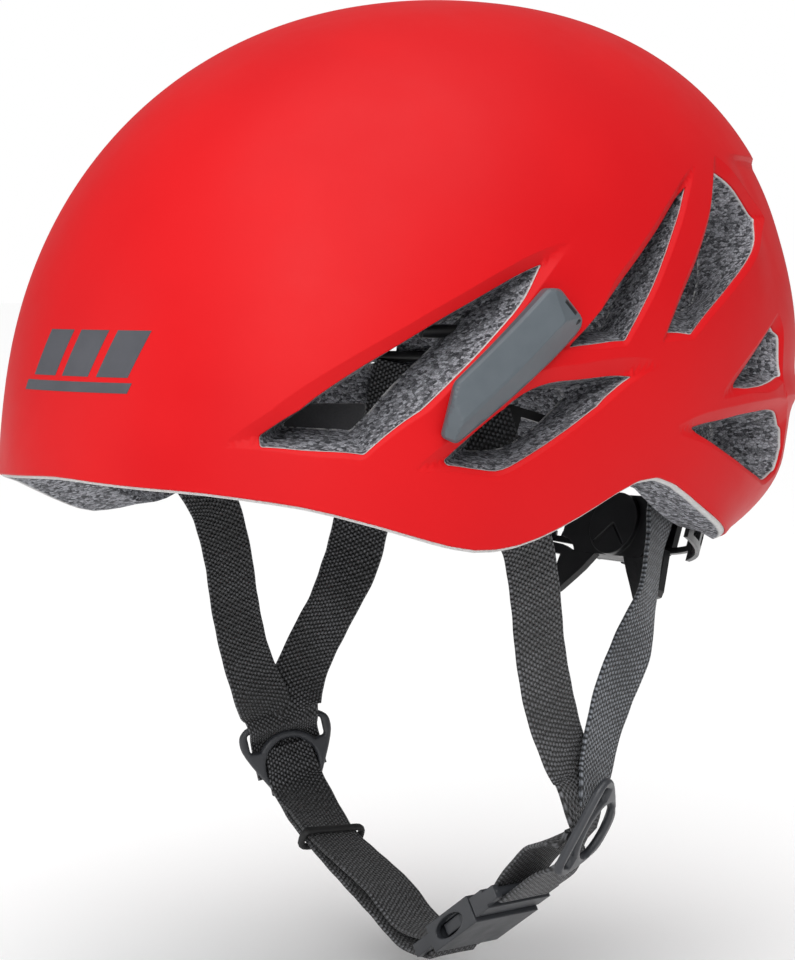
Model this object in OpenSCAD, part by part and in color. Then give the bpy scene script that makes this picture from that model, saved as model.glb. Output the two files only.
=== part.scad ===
// Climbing helmet with foam liner, turn-dial cradle, chin webbing, side-release buckle and
// headlamp clips.
// Frame: front is -Y, the wearer's left is +X, up is +Z, in millimetres. The origin is the centre
// of the head opening, just under the front rim, where the head is held.

/* [Shell] */
// Reach of the dome in front of its centre
shell_front = 131; // [126:1:136]
// Reach of the dome behind its centre
shell_rear = 136; // [131:1:141]
// Half of the shell's width
shell_half_w = 107.5; // [105:0.5:110]
// Height of the dome above its widest level
dome_h = 126; // [122:1:130]
// Height of the widest level
wide_z = 25; // [22:1:28]
// Thickness of the outer skin
skin_t = 1.2; // [0.8:0.1:1.4]
// Thickness of the foam at the sides
foam_t = 20.6; // [18:0.2:21]
// Thickness of the foam at the crown
foam_top_t = 22.6; // [20:0.2:24]

/* [Headlamp clips] */
// Width of a clip
clip_w = 17; // [14:0.5:18]
// Height of a clip's ridge above the shell
clip_h = 7.6; // [7:0.2:9]
// Radius of a clip's pivot pin
clip_pin_r = 1.2; // [1:0.1:1.4]

/* [Webbing] */
// Width of the webbing
web_w = 20; // [18:0.5:20]
// Thickness of the webbing
web_t = 1.5; // [1.2:0.1:1.6]

/* [Strap dividers] */
// Radius of a divider's round opening
divider_hole_r = 9.4; // [9:0.1:9.8]
// Thickness of a divider
divider_t = 2.4; // [2:0.1:2.6]

/* [Buckle] */
// Length of the socket half without its webbing bar
socket_len = 25; // [24:0.5:26]
// Width of the socket half
socket_w = 26; // [25:0.5:28]
// Thickness of the socket half
socket_t = 9; // [8.6:0.2:10]

/* [Head cradle] */
// Radius of the circle that both arms slide on
cradle_r = 81; // [80:0.5:81.5]
// Slope of the cradle, down towards the nape, in degrees
cradle_tilt = 20; // [18:1:21]
// Thickness of an arm band
arm_t = 1.4; // [1.2:0.1:1.4]
// Pitch radius of the dial's pinion
pinion_r = 5; // [5:0.5:5]
// Number of pinion teeth
pinion_teeth = 8; // [8:1:8]
// Radius of the dial knob
knob_r = 12; // [11:0.5:12]
// Radius of the cradle's pins in the foam
temple_pin_r = 2.2; // [2:0.1:2.4]

/* [Hidden] */

// shape of the dome: roundness in plan and in elevation, and how its centre leans back with height
round_plan = 2.17;
round_side = 2.2;
lean = 0.144;
centre_y = 2.2;
gap = 0.15;
around = 72;
low_rings = 5;
high_rings = 12;

red = "#d8231f";
foam_grey = "#77787a";
slate = "#51575c";
black = "#1b1c1e";

// rim height by azimuth: 0 is the front, 90 the wearer's left, 180 the back
RIM = [
    [0, 4.5], [12, 3.2], [25, 2], [38, -1.5], [48, -7], [56, -12], [63, -15.5], [70, -14.5],
    [77, -10], [85, -3], [92, 3.2], [97, 4.2], [102, 0.8], [108, -5], [115, -11], [123, -16.2],
    [131, -19.5], [139, -19], [150, -12], [165, -5], [180, -3]
];

// air vents of the left side: outlines on the outer and on the inner face, as [azimuth, height]
VENTS = [
    [[[31.2, 17.6], [40, 31.2], [49, 43.4], [59, 55.5], [69.8, 66], [66.4, 54], [60, 40],
      [54.5, 28.3], [49.5, 20.5], [45.3, 12.4], [38, 13.3], [31.8, 14.6]],
     [[31, 20.6], [40, 32], [48, 42.5], [54, 48.5], [58.5, 50.5], [56.5, 46.5], [51.5, 38],
      [46.8, 29.5], [44, 23], [41.5, 18.3], [36, 18.8], [31, 19.3]]],
    [[[56.5, 10.5], [60, 17], [65, 25], [70.5, 31.3], [79, 32.3], [88.3, 33.2], [83, 27],
      [77, 19], [71.5, 12.7], [65.6, 6.5], [61, 7.9], [57, 9.2]],
     [[62, 12.5], [64, 18], [67.5, 24], [72, 28.5], [77, 29.5], [82, 29], [83, 26.5],
      [79.5, 21.5], [75.5, 16.5], [70.5, 12.3], [66.5, 11.8], [63, 11.8]]],
    [[[75, 42], [79.3, 50], [84, 58.3], [89.1, 66.7], [96, 77.5], [104.8, 89.8], [101, 81],
      [96.4, 70], [92.8, 60], [89.5, 51.8], [86.3, 43.6], [80, 42.6]],
     [[83, 46], [86, 53], [91, 60], [96, 66], [99.5, 69.5], [102.5, 71.5], [101.5, 66],
      [99, 61], [96.5, 55.5], [94, 50], [92.3, 46.4], [87, 46]]],
    [[[95.6, 45.8], [99.2, 55.8], [103.2, 65], [106.9, 73.5], [110.9, 82], [117.5, 95],
      [124.3, 89.2], [130.6, 80.8], [125.8, 74], [118.1, 65.2], [110.1, 56.3], [101.6, 45.1]],
     [[112, 53], [114.5, 58], [117, 63.5], [119.5, 68.5], [122, 73], [125, 77],
      [129, 76], [131, 72.5], [129.5, 67], [127, 61], [123.5, 54.5], [118, 51.5]]],
    [[[114.4, 28.6], [119, 35.5], [124, 42], [128.5, 47.5], [131, 44], [131, 36],
      [131.5, 31.2], [127, 29.4], [122.8, 28.3], [118, 28]],
     [[119, 32.5], [121.5, 35.5], [124, 38], [126, 40.5], [127.8, 40], [128, 36.5],
      [127.5, 34.4], [126, 33], [123.5, 32.2], [121, 32]]],
    [[[104.4, 17.2], [113, 18.7], [122, 20.3], [130, 20.8], [134.5, 19.5], [138.5, 14],
      [139.5, 8], [138, 0.5], [132, -2.8], [123, 2], [114, 8.5], [106, 14.8]],
     [[117, 11], [121, 13.5], [126, 15.5], [131, 16.5], [135, 15.5], [137, 12],
      [136.5, 8.4], [134, 4.8], [130, 3], [126, 4.2], [121, 6.8], [118, 9]]]
];

// ---- dome ----
function unit(v) = v / norm(v);
function blend01(x) = let (c = max(0, min(1, x))) c * c * (3 - 2 * c);
function fold(a) = let (b = ((a % 360) + 360) % 360) b > 180 ? 360 - b : b;
function rim_at(a) = lookup(fold(a), RIM);
function rim_z(a) = (rim_at(a - 4) + 2 * rim_at(a) + rim_at(a + 4)) / 4;
// width of the dome at height z, as a share of its widest, with the tuck under the nape
function width_low(a, z, inset) =
    1 - 0.05 * pow((wide_z - z) / 60, 2)
    - (z < 5 && inset < 5 ? 0.11 * pow((5 - z) / 25, 2) * blend01((fold(a) - 112) / 26) : 0);
function width_at(a, z, h, inset) =
    z > wide_z ? pow(1 - pow(min(1, (z - wide_z) / h), round_side), 1 / round_side)
    : width_low(a, z, inset);
function plan_r(a, inset) =
    let (reach = (cos(a) > 0 ? shell_front : shell_rear) - inset, half = shell_half_w - inset)
    pow(pow(abs(sin(a)) / half, round_plan) + pow(abs(cos(a)) / reach, round_plan), -1 / round_plan);
// point at azimuth a and height z on the dome moved in by inset at the sides and drop at the crown
function dome(a, z, inset = 0, drop = 0) =
    let (r = width_at(a, z, dome_h - drop, inset) * plan_r(a, inset))
    [r * sin(a), centre_y + lean * (z - wide_z) - r * cos(a), z];
function ring_z(a, k, inset, drop, lift) =
    let (low = rim_z(a) + lift)
    k < low_rings ? low + (wide_z - low) * k / low_rings
    : wide_z + (dome_h - drop) * pow(sin(84 * pow((k - low_rings) / high_rings, 0.9)), 2 / round_side);
function skin_points(inset, drop, lift) = [
    for (k = [0:low_rings + high_rings], i = [0:around - 1])
        let (a = 360 * i / around) dome(a, ring_z(a, k, inset, drop, lift), inset, drop)
];
function crown(drop) = [0, centre_y + lean * (dome_h - drop), wide_z + dome_h - drop];
function ring_faces(base, rings, flip) = [
    for (k = [0:rings - 1], i = [0:around - 1])
        let (j = (i + 1) % around, a = base + k * around,
             f = [a + i, a + around + i, a + around + j, a + j])
        flip ? [f[3], f[2], f[1], f[0]] : f
];
function cap_faces(base, rings, tip, flip) = [
    for (i = [0:around - 1])
        let (a = base + rings * around + i, b = base + rings * around + (i + 1) % around)
        flip ? [b, tip, a] : [a, tip, b]
];

// a shell between two dome surfaces, closed at its rim
module dome_shell(in0, drop0, lift0, in1, drop1, lift1) {
    rings = low_rings + high_rings;
    count = around * (rings + 1);
    outer_tip = 2 * count;
    inner_tip = 2 * count + 1;
    rim_faces = [
        for (i = [0:around - 1])
            let (j = (i + 1) % around) [i, j, count + j, count + i]
    ];
    polyhedron(
        points = concat(skin_points(in0, drop0, lift0), skin_points(in1, drop1, lift1),
                        [crown(drop0), crown(drop1)]),
        faces = concat(ring_faces(0, rings, false), cap_faces(0, rings, outer_tip, false),
                       ring_faces(count, rings, true), cap_faces(count, rings, inner_tip, true),
                       rim_faces)
    );
}

// a tapered plug that opens one vent through skin and foam
module vent_plug(vent, grow = 0) {
    n = len(vent[0]);
    outer = [for (p = vent[0]) dome(p[0], p[1])];
    inner = [for (p = vent[1]) dome(p[0], p[1], skin_t + foam_t, skin_t + foam_top_t)];
    mid_o = [for (k = [0:2]) [for (p = outer) p[k]] * [for (p = outer) 1] / n];
    mid_i = [for (k = [0:2]) [for (p = inner) p[k]] * [for (p = inner) 1] / n];
    wide = [for (p = outer) p + grow * unit(p - mid_o)];
    out = [for (i = [0:n - 1]) wide[i] + 0.4 * (outer[i] - inner[i])];
    deep = [for (i = [0:n - 1]) inner[i] + 0.4 * (inner[i] - outer[i])];
    polyhedron(
        points = concat(out, deep, [mid_o + 0.6 * (mid_o - mid_i), mid_i + 0.6 * (mid_i - mid_o)]),
        faces = concat(
            [for (i = [0:n - 1]) [i, n + i, n + (i + 1) % n, (i + 1) % n]],
            [for (i = [0:n - 1]) [i, (i + 1) % n, 2 * n]],
            [for (i = [0:n - 1]) [n + (i + 1) % n, n + i, 2 * n + 1]])
    );
}
module both_sides() {
    children();
    mirror([1, 0, 0]) children();
}
module vents(grow = 0) {
    both_sides() for (v = VENTS) vent_plug(v, grow);
}
module outer_shell() color(red) resize([0, 0, 0]) difference() {
    dome_shell(0, 0, 0, skin_t, skin_t, 0);
    vents(0.6);
}
module foam_liner() color(foam_grey) resize([0, 0, 0]) difference() {
    dome_shell(skin_t + gap, skin_t + gap, 0.4, skin_t + foam_t, skin_t + foam_top_t, 3.5);
    vents();
    // room for the cradle's arms, and seats for its pins and the strap anchors
    in_cradle() translate([0, 0, -40]) cylinder(r = cradle_r + 4.6, h = 59, $fn = 96);
    temple_pin_shape(0.1);
    both_sides() {
        anchor(FRONT_ROUTE[0][0], FRONT_ROUTE[0][1], 0.15);
        anchor(REAR_ROUTE[0][0], REAR_ROUTE[0][1], 0.15);
    }
}

// a thin patch that follows the dome, between azimuths and heights that are functions of a row
module dome_patch(a0, a1, z0, z1, slant, in0, in1, drop0, drop1, nu, nv) {
    grid = [for (v = [0:nv], u = [0:nu])
        [a0 + (a1 - a0) * u / nu + slant * v / nv, z0 + (z1 - z0) * v / nv]];
    m = (nu + 1) * (nv + 1);
    points = concat([for (g = grid) dome(g[0], g[1], in0, drop0)],
                    [for (g = grid) dome(g[0], g[1], in1, drop1)]);
    edge = concat([for (u = [0:nu - 1]) [u, u + 1]],
                  [for (v = [0:nv - 1]) [v * (nu + 1) + nu, (v + 1) * (nu + 1) + nu]],
                  [for (u = [0:nu - 1]) [nv * (nu + 1) + nu - u, nv * (nu + 1) + nu - u - 1]],
                  [for (v = [0:nv - 1]) [(nv - v) * (nu + 1), (nv - v - 1) * (nu + 1)]]);
    polyhedron(
        points = points,
        faces = concat(
            [for (v = [0:nv - 1], u = [0:nu - 1])
                let (i = v * (nu + 1) + u) [i, i + nu + 1, i + nu + 2, i + 1]],
            [for (v = [0:nv - 1], u = [0:nu - 1])
                let (i = m + v * (nu + 1) + u) [i, i + 1, i + nu + 2, i + nu + 1]],
            [for (e = edge) [e[0], e[1], m + e[1], m + e[0]]])
    );
}
// plain printed mark: three slanted bars
module front_mark() color(slate)
    for (k = [-1:1]) dome_patch(7 * k - 4.5, 7 * k, 30, 46, 2.5, -0.35, -0.1, -0.35, -0.1, 1, 3);

pad_in = skin_t + foam_t + 0.3;
module brow_pad() color(black)
    dome_patch(-44, 44, 9, 27, 0, pad_in, pad_in + 6, 24, 30, 14, 3);
module crown_pad() color(black) difference() {
    intersection() {
        translate([0, 18, 100]) linear_extrude(60) offset(r = 8) offset(delta = -8) union() {
            square([26, 110], center = true);
            square([96, 28], center = true);
        }
        crown_layer();
    }
    crown_layer(-7);
}
// everything under the foam's inner face, as a plain ellipsoid that stays 0.5 clear of it
module crown_layer(grow = 0) translate([0, 17, 14]) scale([74 + grow, 96 + grow, 112.3 + grow]) sphere(1, $fn = 64);

// ---- webbing ----
// flat strap along a route of [point, direction of the width]
module strap(route, w = web_w, t = web_t) {
    n = len(route);
    function along(i) = unit(route[min(n - 1, i + 1)][0] - route[max(0, i - 1)][0]);
    function corner(i, s, f) =
        let (d = along(i), raw = route[i][1], side = unit(raw - (raw * d) * d), face = cross(d, side))
        route[i][0] + s * w / 2 * side + f * t / 2 * face;
    polyhedron(
        points = [for (i = [0:n - 1], c = [[-1, -1], [1, -1], [1, 1], [-1, 1]]) corner(i, c[0], c[1])],
        faces = concat(
            [[2, 1, 0], [3, 2, 0], [for (k = [0:2]) 4 * n - 4 + k], [for (k = [0, 2, 3]) 4 * n - 4 + k]],
            [for (i = [0:n - 2], k = [0:3])
                let (a = 4 * i + k, b = 4 * i + (k + 1) % 4) each [[a, b, b + 4], [a, b + 4, a + 4]]])
    );
}

fore_aft = [0, 1, 0];
FRONT_ROUTE = [
    [[75.8, -41, 44], [0.38, 0.92, 0.2]], [[77.8, -37.5, 30], [0.35, 0.93, 0.2]],
    [[79.4, -32, 14], [0.25, 1, 0.25]], [[79.2, -24.5, -2], [0.1, 1, 0.25]],
    [[78.2, -16, -15], [0, 1, 0.15]], [[77.2, -11, -32], fore_aft], [[76.8, -8.2, -50], fore_aft],
    [[76.6, -4.4, -66], [0, 1, 0.1]], [[76.4, 0.8, -79], [-0.1, 1, 0.2]],
    [[76.2, 6, -88.5], [-0.2, 1, 0.3]]
];
REAR_ROUTE = [
    [[71, 61.5, 32], [-0.42, 0.9, 0]], [[71.8, 58.5, 18], [-0.4, 0.92, 0]],
    [[71.2, 54.5, 5], [-0.35, 1, 0]], [[71, 49, -9], [-0.35, 1, 0]],
    [[72.2, 44.5, -22], [-0.5, 0.87, 0]], [[73.4, 40.5, -37], [-0.48, 0.88, -0.1]],
    [[74.6, 34.5, -52], [-0.15, 1, -0.15]], [[75.4, 28.5, -65], [-0.15, 1, -0.15]],
    [[76.6, 23.5, -77], [-0.3, 1, -0.2]], [[78.2, 19.8, -88.5], [-0.4, 1, -0.1]]
];
module front_strap_left() color(black) strap(FRONT_ROUTE);
module front_strap_right() color(black) mirror([1, 0, 0]) strap(FRONT_ROUTE);
module rear_strap_left() color(slate) strap(REAR_ROUTE);
module rear_strap_right() color(black) mirror([1, 0, 0]) strap(REAR_ROUTE);

// plastic bar that the end of a strap is sewn around, pressed into the foam's inner face
module anchor(end, side, grow = 0) {
    d = unit(side);
    translate(end) rotate([0, 0, atan2(d[1], d[0])]) translate([0, -3, 2.6])
        rotate([0, 90, 0]) cylinder(r = 2 + grow, h = web_w + 4 + 2 * grow, center = true, $fn = 32);
}
module front_anchor_left() color(black) anchor(FRONT_ROUTE[0][0], FRONT_ROUTE[0][1]);
module front_anchor_right() color(black) mirror([1, 0, 0]) anchor(FRONT_ROUTE[0][0], FRONT_ROUTE[0][1]);
module rear_anchor_left() color(black) anchor(REAR_ROUTE[0][0], REAR_ROUTE[0][1]);
module rear_anchor_right() color(black) mirror([1, 0, 0]) anchor(REAR_ROUTE[0][0], REAR_ROUTE[0][1]);

// place children on a frame with x along a, z along the part of b square to a
module on_frame(o, a, b) {
    x = unit(a);
    z = unit(b - (b * x) * x);
    y = cross(z, x);
    multmatrix([[x[0], y[0], z[0], o[0]], [x[1], y[1], z[1], o[1]], [x[2], y[2], z[2], o[2]], [0, 0, 0, 1]])
        children();
}

// ---- strap dividers ----
// x is the width, y up along the straps, z the thickness
module divider_plate() {
    linear_extrude(divider_t, center = true) difference() {
        offset(r = 3) polygon([[-13.3, 14.6], [13.3, 14.6], [13.3, 8], [3.6, -10.2], [-3.6, -10.2], [-13.3, 8]]);
        circle(divider_hole_r, $fn = 48);
        difference() {
            translate([0, 9]) square([25.4, 11.6], center = true);
            circle(divider_hole_r + 2.4, $fn = 48);
        }
    }
}
DIVIDER_LEFT = [76.5, 14.5, -107];
DIVIDER_RIGHT = [-76.5, 16, -105];
// width direction and upward direction of each divider
LEFT_ACROSS = [0.256, 0.4, 0.88];
LEFT_UP = [0.492, -0.838, 0.239];
RIGHT_ACROSS = [0.4, 0.9, 0.05];
RIGHT_UP = [-0.03, 0, 1];
module divider_left() color(slate) on_frame(DIVIDER_LEFT, LEFT_ACROSS, cross(LEFT_ACROSS, LEFT_UP)) divider_plate();
module divider_right() color(slate) on_frame(DIVIDER_RIGHT, RIGHT_ACROSS, cross(RIGHT_ACROSS, RIGHT_UP)) divider_plate();

// ---- chin buckle ----
// x runs along the buckle from the socket to the plug, y is its width, z its thickness
BUCKLE_AT = [29, 11, -142.5];
BUCKLE_AXIS = [0.83, -0.03, 0.55];
module in_buckle() on_frame(BUCKLE_AT, BUCKLE_AXIS, [-0.55, 0, 0.83]) children();

bar_r = 1.7;
socket_bar_x = -socket_len / 2 - 8;
plug_bar_x = 24.2;
prong_y = 6.2;
prong_x = 12.5;

module webbing_bar(x, reach) {
    translate([x, 0, 0]) rotate([90, 0, 0]) cylinder(r = bar_r, h = socket_w - 2, center = true, $fn = 32);
    for (s = [-1, 1]) translate([x + reach / 2, s * (socket_w / 2 - 1.25), 0])
        cube([abs(reach) + 3, 2.5, 4.4], center = true);
}
module buckle_female() color(slate) in_buckle() {
    difference() {
        intersection() {
            translate([-0.25, 0, 0]) cube([socket_len - 0.5, socket_w, socket_t], center = true);
            rotate([90, 0, 0]) scale([1, 0.42, 1]) cylinder(r = 17, h = socket_w, center = true, $fn = 64);
        }
        translate([3, 0, 0]) cube([socket_len, socket_w - 4, 5], center = true);
        for (s = [-1, 1]) translate([-1, s * socket_w / 2, 0]) rotate([90, 0, 0])
            scale([1.5, 0.62, 1]) cylinder(r = 5.2, h = 5, center = true, $fn = 48);
    }
    webbing_bar(socket_bar_x, 7.5);
}
module buckle_male() color(slate) in_buckle() {
    difference() {
        translate([16.5, 0, 0]) cube([7, socket_w, 6.4], center = true);
        for (s = [-1, 1]) translate([prong_x + 0.8, s * prong_y, 0]) hull() {
            cylinder(r = 2.6, h = 4.2, center = true, $fn = 32);
            translate([0, 0.9 * s, 0]) cylinder(r = 2.6, h = 4.2, center = true, $fn = 32);
        }
    }
    translate([7.5, 0, 0]) cube([13.4, 4, 3.6], center = true);
    webbing_bar(plug_bar_x, -5.5);
    for (s = [-1, 1]) translate([prong_x + 0.8, s * prong_y, 0])
        cylinder(r = 1, h = 6, center = true, $fn = 24);
}
// one spring arm of the plug with its finger pad, on the side s of the buckle
module prong(s) in_buckle() difference() {
    union() {
        translate([prong_x + 0.8, s * prong_y, 0]) cylinder(r = 2.3, h = 3.8, center = true, $fn = 32);
        translate([5.5, s * 7.2, 0]) rotate([0, 0, -4 * s]) cube([16, 2.6, 3.8], center = true);
        hull() {
            translate([-5.4, s * 9.4, 0]) cylinder(r = 1.5, h = 3.8, center = true, $fn = 24);
            translate([2.6, s * 9.6, 0]) cylinder(r = 1.7, h = 3.8, center = true, $fn = 24);
            translate([-2, s * 7.4, 0]) cylinder(r = 1.2, h = 3.8, center = true, $fn = 24);
        }
    }
    translate([prong_x + 0.8, s * prong_y, 0]) cylinder(r = 1.05, h = 8, center = true, $fn = 24);
}
module prong_front() color(slate) prong(-1);
module prong_rear() color(slate) prong(1);

// a point of the buckle's frame in the shared frame
bx = unit(BUCKLE_AXIS);
bz = let (b = [-0.55, 0, 0.83]) unit(b - (b * bx) * bx);
by = cross(bz, bx);
function buckle_pt(x, z) = BUCKLE_AT + x * bx + z * bz;
turn_r = bar_r + 0.25 + web_t / 2;
// the webbing's turn round a bar, starting at an angle from the buckle's upper face
function u_turn(x, way, start) = [
    for (k = [0:5]) let (t = start + 180 * k / 5) [buckle_pt(x - way * turn_r * sin(t), turn_r * cos(t)), by]
];
CHIN_TOP = [
    [[-71, 17.4, -114], [0.3, 0.95, 0.05]], [[-62.8, 15.6, -121.4], [0.12, 1, 0.05]], [[-50.5, 13.2, -127.6], fore_aft],
    [[-36, 11.8, -133.2], fore_aft], [[-18, 11.4, -140.6], fore_aft],
    [[-3, 11.4, -149.6], fore_aft]
];
CHIN_LOW = [
    [[-1.6, 11.4, -155.4], fore_aft], [[-18, 11.2, -146.6], fore_aft],
    [[-36.6, 11.6, -136.6], fore_aft], [[-51.2, 13, -129.6], fore_aft],
    [[-64, 15.4, -123.4], [0.12, 1, 0.05]], [[-72.8, 16.9, -116.4], [0.3, 0.95, 0.05]]
];
module chin_strap_right() color(black) strap(concat(CHIN_TOP, u_turn(socket_bar_x, -1, 39), CHIN_LOW));

LOOP_IN = [
    [[72.4, 9.5, -108.4], [-0.33, 0.93, 0.16]], [[66.8, 10.4, -109.9], [-0.2, 0.97, 0.1]], [[60.6, 10.9, -113.7], fore_aft],
    [[54.2, 10.6, -119.4], fore_aft], [[49.4, 10.4, -124.4], fore_aft]
];
LOOP_OUT = [
    [[55.8, 10.5, -127.6], fore_aft], [[62.2, 10.8, -123], fore_aft], [[67.2, 10.9, -118.3], [-0.2, 0.97, 0.1]],
    [[69.8, 10.7, -115.6], [-0.33, 0.93, 0.16]]
];
module chin_loop_left() color(black) strap(concat(LOOP_IN, u_turn(plug_bar_x, 1, 20), LOOP_OUT));

// rubber ring that holds the two layers of the right chin strap together
module keeper_ring() color(black) on_frame([-50.8, 13.1, -128.6], [-0.88, 0.1, 0.44], [0.44, 0, 0.88])
    rotate([0, 90, 0]) linear_extrude(3, center = true) difference() {
        offset(r = 2.4, $fn = 32) square([3.4, web_w + 0.6], center = true);
        offset(r = 0.6, $fn = 32) square([3.4, web_w + 0.6], center = true);
    }

// ---- headlamp clips ----
// each clip runs from [azimuth, height] at its pivot to [azimuth, height] at its free tip
CLIP_SIDE = [[74.2, 55.7], [55.5, 17.9]];
CLIP_BACK = [[180, 74], [180, 40]];
function clip_at(c, s) = c[0] + s * (c[1] - c[0]);
function clip_axis_dir(c) =
    let (p = clip_at(c, 0), q = clip_at(c, 1), lift = dome(p[0], p[1], -4, -4) - dome(p[0], p[1]))
    unit(cross(lift, dome(q[0], q[1]) - dome(p[0], p[1])));
function clip_pt(c, s, side, h) =
    let (g = clip_at(c, s)) dome(g[0], g[1], -h, -h) + side * clip_w / 2 * clip_axis_dir(c);
pivot_s = 0.07;
pivot_h = 3.9;
function pivot(c) = clip_pt(c, pivot_s, 0, pivot_h);

module clip_bar(c, ridge = 0.25) {
    // share of the length, half width left and right, top and bottom heights
    stations = [[0, 0.75, 0.75, 0.75, 2.6], [0.05, 1, 1, 0.95, 1.5], [0.14, 1, 1, 1, 0.6],
                [0.4, 1, 1, 1, 0.6], [0.7, 1, 1, 1, 0.6], [0.82, 0.85, 1, 0.9, 0.6], [1, 0.1, 0.45, 0.4, 0.6]];
    n = len(stations);
    points = [for (s = stations) each [
        clip_pt(c, s[0], -s[1], s[4]), clip_pt(c, s[0], s[2], s[4]),
        clip_pt(c, s[0], s[2], max(s[4] + 0.8, 0.42 * clip_h * s[3])),
        clip_pt(c, s[0], ridge * (s[1] + s[2]) / 2, clip_h * s[3] + 0.4),
        clip_pt(c, s[0], -s[1], max(s[4] + 1, 0.62 * clip_h * s[3]))]];
    polyhedron(
        points = points,
        faces = concat([[for (k = [0:4]) k], [for (k = [0:4]) 5 * n - 1 - k]],
            [for (i = [0:n - 2], k = [0:4])
                let (a = 5 * i + k, b = 5 * i + (k + 1) % 5) [a, a + 5, b + 5, b]])
    );
}
module on_pivot(c) on_frame(pivot(c), clip_axis_dir(c), clip_pt(c, pivot_s, 0, 8) - pivot(c)) children();
module clip(c) difference() {
    clip_bar(c);
    on_pivot(c) {
        rotate([0, 90, 0]) cylinder(r = clip_pin_r + 0.05, h = 11, center = true, $fn = 32);
        translate([0, 0, -1.6]) cube([5.8, 9, 7.2], center = true);
    }
}
module clip_post(c) on_pivot(c) {
    rotate([0, 90, 0]) cylinder(r = clip_pin_r, h = 10.4, center = true, $fn = 32);
    rotate([0, 90, 0]) cylinder(r = 1.8, h = 5, center = true, $fn = 32);
    translate([0, 0, -1.75]) cube([5, 3.2, 3.5], center = true);
}
module clip_posts() color(black) {
    both_sides() clip_post(CLIP_SIDE);
    clip_post(CLIP_BACK);
}
module clip_left() color(slate) clip(CLIP_SIDE);
module clip_right() color(slate) mirror([1, 0, 0]) clip(CLIP_SIDE);
module clip_rear() color(slate) clip(CLIP_BACK);

// ---- head cradle ----
CRADLE_AT = [0, 28, 3.2];
TEMPLE_Y = 9.2;
TEMPLE_Z = 10;
module in_cradle() translate(CRADLE_AT) rotate([-cradle_tilt, 0, 0]) children();
// two layers: the left arm slides outside the right arm
left_in = cradle_r + 0.3;
right_in = cradle_r - 0.3 - arm_t;
tooth_pitch = 360 * pinion_r / (pinion_teeth * cradle_r);
window_h = 6.1;
band_h = 8.2;
frame_h = 10.9;
screw_z = 9.7;
screw_a = 9.4;
slot_half = temple_pin_r + 0.7;

// part of a ring of the arm's layer: from the nape centre, a0 to a1 degrees to the left, z0 to z1
module band(r, a0, a1, z0, z1, t = arm_t) rotate([0, 0, 90 - a1]) rotate_extrude(angle = a1 - a0, $fn = 144)
    translate([r, z0]) square([t, z1 - z0]);
// Window of a rack: all of it is cut out but the teeth
module rack_window(r, flip) difference() {
    band(r - 1, -7.5, 29, -window_h, window_h, arm_t + 2);
    for (k = [-1:8]) rotate([0, 0, 90 - (k + 0.5) * tooth_pitch]) translate([r - 2, 0, -flip * window_h])
        rotate([90, 0, 90]) linear_extrude(arm_t + 4)
            polygon([[-1, -0.4 * flip], [1, -0.4 * flip], [0.6, 1.8 * flip], [-0.6, 1.8 * flip]]);
}
module arm(r, teeth_up) difference() {
    band(r, -10.5, 124, -11.6, band_h);
    // the rack end, the wide middle and the slotted end each keep their own height
    band(r - 1, -12, 31.5, -13, -band_h, arm_t + 2);
    band(r - 1, 31.5, 65.5, 6.6, band_h + 1, arm_t + 2);
    for (z = [-13, 5.6]) band(r - 1, 65.5, 126, z, z + 7.4, arm_t + 2);
    rack_window(r, teeth_up ? 1 : -1);
    for (a = [35, 45, 55]) band(r - 1, a, a + 7, -9.6, -5.4, arm_t + 2);
    for (a = [34.5, 50]) band(r - 1, a, a + 12.5, -3, 3.6, arm_t + 2);
    band(r - 1, 98.4, 121, -slot_half, slot_half, arm_t + 2);
}
module arm_left() color(black) in_cradle() arm(left_in, false);
module arm_right() color(black) in_cradle() mirror([1, 0, 0]) arm(right_in, true);

module temple_pin_shape(grow = 0) both_sides() translate([0, TEMPLE_Y, TEMPLE_Z]) rotate([0, 90, 0]) {
    translate([0, 0, 72.4]) cylinder(r = temple_pin_r + 1.8, h = 1.6, $fn = 48);
    translate([0, 0, 73]) cylinder(r = temple_pin_r + grow, h = 19 + grow, $fn = 48);
}
module temple_pins() color(black) temple_pin_shape();

// the two halves of the dial housing, in the cradle's frame at the nape
module at_nape() in_cradle() translate([0, cradle_r, 0]) rotate([-90, 0, 0]) children();
house_half = 17;
module housing_plate(r, t) difference() {
    band(r, -house_half, house_half, -frame_h, frame_h, t);
    for (s = [-1, 1], v = [-1, 1]) rotate([0, 0, 90 + s * house_half]) translate([r - 1, 0, v * 13])
        rotate([0, 90, 0]) cylinder(r = 6.5, h = t + 2, $fn = 48);
}
module cradle_housing() color(black) {
    in_cradle() difference() {
        union() {
            housing_plate(cradle_r - 5, 2.9);
            for (v = [-1, 1]) band(cradle_r - 2.2, -13, 13, v > 0 ? band_h + 0.3 : -frame_h,
                                   v > 0 ? frame_h : -band_h - 0.3, 4.4);
        }
        for (s = [-1, 1], v = [-1, 1]) rotate([0, 0, 90 + s * screw_a]) translate([cradle_r - 4.4, 0, v * screw_z])
            rotate([0, 90, 0]) cylinder(r = 0.9, h = 12, $fn = 24);
        translate([0, cradle_r - 3.3, 0]) rotate([-90, 0, 0]) cylinder(r = 2.05, h = 3, $fn = 32);
    }
    // round face towards the head
    in_cradle() translate([0, cradle_r - 7.4, 0]) rotate([-90, 0, 0]) difference() {
        cylinder(r = 11, h = 3, $fn = 64);
        for (s = [-1, 1]) rotate([0, 0, 45 * s]) translate([0, 5, 0]) cube([0.8, 10, 0.8], center = true);
    }
}
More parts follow.
